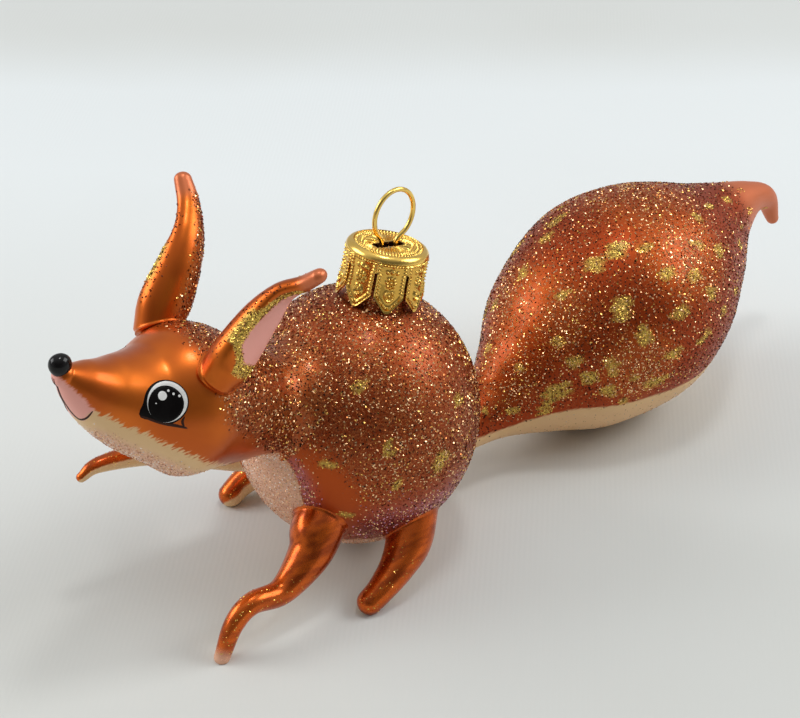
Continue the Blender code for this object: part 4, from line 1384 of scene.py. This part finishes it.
class ORNAMENT_OT_cap(bpy.types.Operator):
    """Stamp the crown cap with its petals, slot and raised pattern"""

    bl_idname = "ornament.cap"
    bl_label = "Crown cap"

    def execute(self, context):
        cap = cap_sizes()
        sector = math.tau / cap.petals
        lines = [self.column(cap, sector * petal + cap.petal_turn, sector, column / PETAL_COLUMNS - 0.5)
                 for petal in range(cap.petals) for column in range(PETAL_COLUMNS + 1)]
        shape = (cap.petals, PETAL_COLUMNS + 1, TOP_ROWS + SIDE_ROWS, -1)
        outer, inner, recess = (np.array(sheet).reshape(shape) for sheet in zip(*lines))
        mesh = self.shell(cap, outer, inner, recess)
        points = corners(mesh)
        points[:, 2] += cap_top() - cap.height
        mesh.vertices.foreach_set("co", from_neck(points).ravel())
        finish_piece(mesh, gilt_metal("cap_gilt", 0.16, 0.35), "cap", "gilt_sheet", "cap_crown")
        return {"FINISHED"}

    def column(self, cap, middle, sector, share):
        """Outer and inner points from the slot to a petal's end, and how deep in the pattern each lies."""
        angle = middle + sector * share
        slot = min(cap.slot_width / 2 / max(abs(math.cos(angle)), TINY),
                   cap.slot_length / 2 / max(abs(math.sin(angle)), TINY))
        flat_end = cap.top_radius - cap.shoulder
        outer, inner, recess = [], [], []
        for row in range(TOP_ROWS):
            part = row / (TOP_ROWS - 1)
            radius = slot + (flat_end - slot) * part
            raised = self.top_pattern(angle, part)
            outer.append(self.spot(angle, radius, cap.height + cap.emboss * (raised - 0.5)))
            inner.append(self.spot(angle, radius, cap.height - cap.sheet))
            recess.append(1.0 - raised)
        bend = math.pi / 2 * cap.shoulder
        half = cap.radius * sector / 2
        end = max(0.0, cap.notch / 2 - half * (1.0 - 2 * abs(share)))
        run = bend + cap.height - cap.shoulder - end
        slit_run_out = 0.25 * MM
        flare_height = 0.5 * cap.height
        shoulder_raised = 0.6
        for row in range(1, SIDE_ROWS + 1):
            at = run * row / SIDE_ROWS
            if at < bend:
                lean = at / cap.shoulder
                radius = flat_end + cap.shoulder * math.sin(lean)
                height = cap.height - cap.shoulder * (1 - math.cos(lean))
                out, up = math.sin(lean), math.cos(lean)
                raised = shoulder_raised
            else:
                height = cap.height - cap.shoulder - (at - bend)
                flare = max(0.0, 1.0 - height / flare_height)
                radius = cap.top_radius + (cap.radius - cap.top_radius) * flare
                out, up = 1.0, 0.0
                raised = self.side_pattern(2 * share * half / MM, height / MM, half / MM, end / MM)
            open_slit = min(max((cap.slit_length - height) / slit_run_out, 0.0), 1.0)
            spread = sector - open_slit * cap.slit / radius
            turn = middle + spread * share
            lift = cap.emboss * (raised - 0.5)
            outer.append(self.spot(turn, radius + lift * out, height + lift * up))
            inner.append(self.spot(turn, radius - cap.sheet * out, height - cap.sheet * up))
            recess.append(1.0 - raised)
        return outer, inner, recess

    def spot(self, angle, radius, height):
        return (radius * math.cos(angle), radius * math.sin(angle), height)

    def bead(self, away, half_width):
        """Height of a round bead or line at a distance from its middle."""
        return math.exp(-(away / half_width) ** 2)

    def rope(self, turns, level):
        """A row of even bosses that swings about a level, up to 1."""
        return level + (1.0 - level) * math.cos(turns)

    def top_pattern(self, angle, part):
        """Radial flutes round the slot, a ring of dots, then a rope."""
        flute_count, flute_at, flute_half, flute_height = 48, 0.36, 0.24, 0.75
        dot_count, dot_at, dot_half = 56, 0.74, 0.07
        rope_count, rope_at, rope_half, rope_slant = 64, 0.93, 0.05, 26.0
        window = math.exp(-((part - flute_at) / flute_half) ** 4)
        flutes = flute_height * self.rope(flute_count * angle, 0.5) * window
        dots = self.rope(dot_count * angle, 0.5) * self.bead(part - dot_at, dot_half)
        rope = self.rope(rope_count * angle + rope_slant * part, 0.55) * self.bead(part - rope_at, rope_half)
        return min(1.0, max(flutes, dots, rope))

    def side_pattern(self, across, up, half, end):
        """Rope along a petal's edges, a star flower, beads above it and a horseshoe below, in millimetres."""
        from_side = half - abs(across)
        from_end = (up - end) / NOTCH_SLOPE
        turns = up if from_side < from_end else across * NOTCH_SLOPE
        inside = min(from_side, from_end)
        rope_inset, rope_half, rope_pitch = 0.52, 0.20, 0.55
        rope = self.bead(inside - rope_inset, rope_half) * self.rope(math.tau * turns / rope_pitch, 0.62)
        rim = 0.45 * self.bead(inside, 0.22)
        flower_up, flower_radius, flower_half, flower_heart = 4.9, 0.70, 0.30, 0.24
        above = up - flower_up
        out = math.hypot(across, above)
        rays = self.rope(8 * math.atan2(above, across), 0.5) ** 0.7
        petals = rays * self.bead(out - flower_radius, flower_half)
        heart = self.bead(out, flower_heart)
        shoe_up, shoe_radius, shoe_half, shoe_gap, shoe_heart = 2.75, 0.72, 0.17, 0.35, 0.24
        above = up - shoe_up
        out = math.hypot(across, above)
        gap = 1.0 - self.bead(across, shoe_gap) * (above > 0.0)
        shoe = max(gap * self.bead(out - shoe_radius, shoe_half), self.bead(out, shoe_heart))
        collar_up, collar_half, collar_pitch = 7.72, 0.14, 0.5
        collar = self.bead(up - collar_up, collar_half) * self.rope(math.tau * across / collar_pitch, 0.6)
        beads = [math.exp(-((across - beside) ** 2 + (up - at) ** 2) / size ** 2)
                 for beside, at, size in PETAL_BEADS]
        return min(1.0, max(rope, rim, petals, heart, shoe, collar, *beads))

    def shell(self, cap, outer, inner, recess):
        """Join the outer and inner sheets with their edges, then merge the seams above the slits."""
        petals, wide, rows = outer.shape[:3]
        count = petals * wide * rows

        def there_and_back(*spots):
            """Corners along spots of the outer sheet, and back along the inner one."""
            ids = [(petal * wide + column) * rows + row for petal, column, row in spots]
            return (*ids, *(count + k for k in reversed(ids)))

        faces = []
        slit_row = next(row for row in range(rows) if outer[0, 0, row, 2] < cap.slit_length)
        for petal in range(petals):
            for column in range(wide - 1):
                for row in range(rows - 1):
                    both = there_and_back((petal, column, row), (petal, column + 1, row),
                                          (petal, column + 1, row + 1), (petal, column, row + 1))
                    faces += [both[:4], both[4:]]
                for row in (0, rows - 1):
                    faces.append(there_and_back((petal, column, row), (petal, column + 1, row)))
            for column in (0, wide - 1):
                for row in range(slit_row - 1, rows - 1):
                    faces.append(there_and_back((petal, column, row), (petal, column, row + 1)))
        mesh = plain_mesh("cap_skin", np.concatenate([outer.reshape(-1, 3), inner.reshape(-1, 3)]), faces)
        store(mesh, recess=np.concatenate([0.8 * recess.ravel(), np.zeros(count)]))
        turned_out(mesh, merge=0.002 * MM)
        mesh.set_sharp_from_angle(angle=math.radians(50.0))
        return mesh


class ORNAMENT_OT_hanger(bpy.types.Operator):
    """Bend the wire loop"""

    bl_idname = "ornament.hanger"
    bl_label = "Wire hanger"

    def execute(self, context):
        size = sizes()
        cap = cap_sizes()
        top = cap_top()
        middle = top + cap.loop_lift + cap.wire_radius + cap.loop_radius
        foot = size.neck_radius - size.glass_wall - cap.seam - cap.wire_radius
        loop_from, loop_to = 52.0, 308.0
        arc = [(0.0, cap.loop_radius * math.sin(a), middle - cap.loop_stretch * cap.loop_radius * math.cos(a))
               for a in np.radians(np.linspace(loop_from, loop_to, 15))]
        half_apart = cap.leg_spacing / 2
        leg = [(0.0, foot, top - cap.leg_length), (0.0, (foot + half_apart) / 2, top - cap.leg_length / 2),
               (0.0, half_apart, top)]
        other = [(0.0, -y, z) for _, y, z in leg[::-1]]
        bent = smooth_run([(*point, 0.0) for point in leg + arc + other], steps=8)[:, :3]
        points = from_neck(bent)
        run = np.column_stack([points, np.full(len(points), cap.wire_radius)])
        rings = points[:, None] + ring_offsets(run, sides=20)
        mesh = capped_tube("hanger_skin", rings, points[0], points[-1])
        finish_piece(mesh, gilt_metal("wire_gilt", 0.14, 0.2), "hanger", "gilt_wire", "hanger_wire")
        return {"FINISHED"}


# The stage: angles are azimuth and elevation in degrees, lengths are metres and power is in watts
LOOK_AT = Vector((10.45, -24.16, 37.83)) * MM
CAMERA_ANGLES, CAMERA_DISTANCE = (49.77, 32.42), 0.300
SENSOR_WIDTH, LENS, NEAR_CLIP = 36.0, 87.15, 0.01
# Angles, distance, width and power
LAMPS = {
    "left window": ((-46.0, 30.0), 0.70, 0.42, 2.2),
    "right window": ((150.0, 36.0), 0.70, 0.42, 2.1),
    "overhead": ((170.0, 82.0), 0.55, 0.10, 0.5),
}
LAMP_HEIGHT_SHARE = 0.8
FLOOR_HALF = 3.0
FLOOR_BACK = (-0.763, 0.646, 0.0)
DARK_SIDE = (60.0, 30.0)
SKY_COLOUR = (0.97, 0.99, 1.0)


class ORNAMENT_OT_stage(bpy.types.Operator):
    """Lay the pale floor, hang the lamps and set the camera"""

    bl_idname = "ornament.stage"
    bl_label = "Stage"

    def execute(self, context):
        self.floor()
        self.sky()
        for name, lamp in LAMPS.items():
            self.lamp(name, *lamp)
        self.camera(context)
        context.scene.view_settings.view_transform = "Standard"
        return {"FINISHED"}

    def direction(self, degrees):
        azimuth, elevation = (math.radians(angle) for angle in degrees)
        level = math.cos(elevation)
        return Vector((math.sin(azimuth) * level, -math.cos(azimuth) * level, math.sin(elevation)))

    def aimed(self, name, data, degrees, distance):
        """Place a lamp or the camera so that it looks at the ornament."""
        made = new_object(name, data)
        way = self.direction(degrees)
        made.location = LOOK_AT + way * distance
        made.rotation_euler = way.to_track_quat("Z", "Y").to_euler()
        return made

    def floor(self):
        """A pale floor with painted shade: greyer in front, far behind and in faint painted fold shading,
        with a fine weave.
        """
        square = [(-FLOOR_HALF, -FLOOR_HALF, 0.0), (FLOOR_HALF, -FLOOR_HALF, 0.0),
                  (FLOOR_HALF, FLOOR_HALF, 0.0), (-FLOOR_HALF, FLOOR_HALF, 0.0)]
        mesh = plain_mesh("floor", square, [(0, 1, 2, 3)])
        floor = new_object("floor", mesh)
        material, tree, shader, place = new_material("pale_floor")
        thread_scale, fold_scale, fold_shade_depth = 500.0, 14.0, 0.12
        weave = node(tree, "ShaderNodeTexWave",
                     {"Vector": place, "Scale": thread_scale, "Distortion": 1.5, "Detail": 2.0},
                     bands_direction="DIAGONAL")
        # Painted shade: the floor is greyer in front, in a band far behind and in faint fold shading
        fold_shade = stepped(tree, noise(tree, place, fold_scale), 0.3, 0.7)
        behind = facing(tree, place, FLOOR_BACK)
        far_shade = stepped(tree, behind, 0.15, 0.20, 0.0, 0.75)
        shade = maths(tree, "SUBTRACT", stepped(tree, behind, -0.06, 0.15), far_shade)
        shade = maths(tree, "MULTIPLY_ADD", fold_shade, fold_shade_depth, shade)
        colour = colours()
        feed(tree, shader, Base_Color=mixed(tree, shade, opaque(colour.near_floor_shade), opaque(colour.floor)),
             Roughness=0.9, Normal=bump(tree, weave.outputs[0], strength=0.03, distance=0.3 * MM))
        mesh.materials.append(material)

    def sky(self):
        """An even pale room, darker on the viewer's side and lighter overhead."""
        world = bpy.data.worlds.new("studio")
        bpy.context.scene.world = world
        world.use_nodes = True
        tree = world.node_tree
        way = node(tree, "ShaderNodeTexCoord").outputs["Generated"]
        above = node(tree, "ShaderNodeSeparateXYZ", {0: way}).outputs[2]
        room, dark_side, overhead = 0.50, 0.14, 0.30
        towards = facing(tree, way, self.direction(DARK_SIDE))
        light = stepped(tree, towards, 0.30, 0.95, room, dark_side)
        light = maths(tree, "ADD", light, stepped(tree, above, 0.5, 1.0, 0.0, overhead))
        feed(tree, tree.nodes["Background"], Color=opaque(SKY_COLOUR), Strength=light)

    def lamp(self, name, degrees, distance, width, power):
        data = bpy.data.lights.new(name, "AREA")
        data.shape = "RECTANGLE"
        data.size = width
        data.size_y = width * LAMP_HEIGHT_SHARE
        data.energy = power
        self.aimed(name, data, degrees, distance)

    def camera(self, context):
        data = bpy.data.cameras.new("camera")
        data.sensor_width = SENSOR_WIDTH
        data.lens = LENS
        data.clip_start = NEAR_CLIP
        context.scene.camera = self.aimed("camera", data, CAMERA_ANGLES, CAMERA_DISTANCE)


class ORNAMENT_PT_panel(bpy.types.Panel):
    """Lists the operators that make the ornament and its stage"""

    bl_idname = "ORNAMENT_PT_panel"
    bl_label = "Squirrel ornament"
    bl_space_type = "VIEW_3D"
    bl_region_type = "UI"
    bl_category = "Ornament"

    def draw(self, context):
        for operator in OPERATORS:
            self.layout.operator(operator.bl_idname)


SETTINGS = {"ornament_sizes": GlassSizes, "ornament_cap": CapSizes, "ornament_glitter": Glitter,
            "ornament_colours": Colours}
OPERATORS = (ORNAMENT_OT_body, ORNAMENT_OT_head, ORNAMENT_OT_tail, ORNAMENT_OT_ears, ORNAMENT_OT_legs,
             ORNAMENT_OT_face, ORNAMENT_OT_glitter, ORNAMENT_OT_cap, ORNAMENT_OT_hanger, ORNAMENT_OT_stage)
CLASSES = (*SETTINGS.values(), *OPERATORS, ORNAMENT_PT_panel)


def register():
    for made in CLASSES:
        bpy.utils.register_class(made)
    for name, kind in SETTINGS.items():
        setattr(bpy.types.Scene, name, PointerProperty(type=kind))


def unregister():
    for name in SETTINGS:
        delattr(bpy.types.Scene, name)
    for made in reversed(CLASSES):
        bpy.utils.unregister_class(made)


def main():
    register()
    for operator in OPERATORS:
        getattr(bpy.ops.ornament, operator.bl_idname.split(".")[1])()


if __name__ == "__main__":
    main()
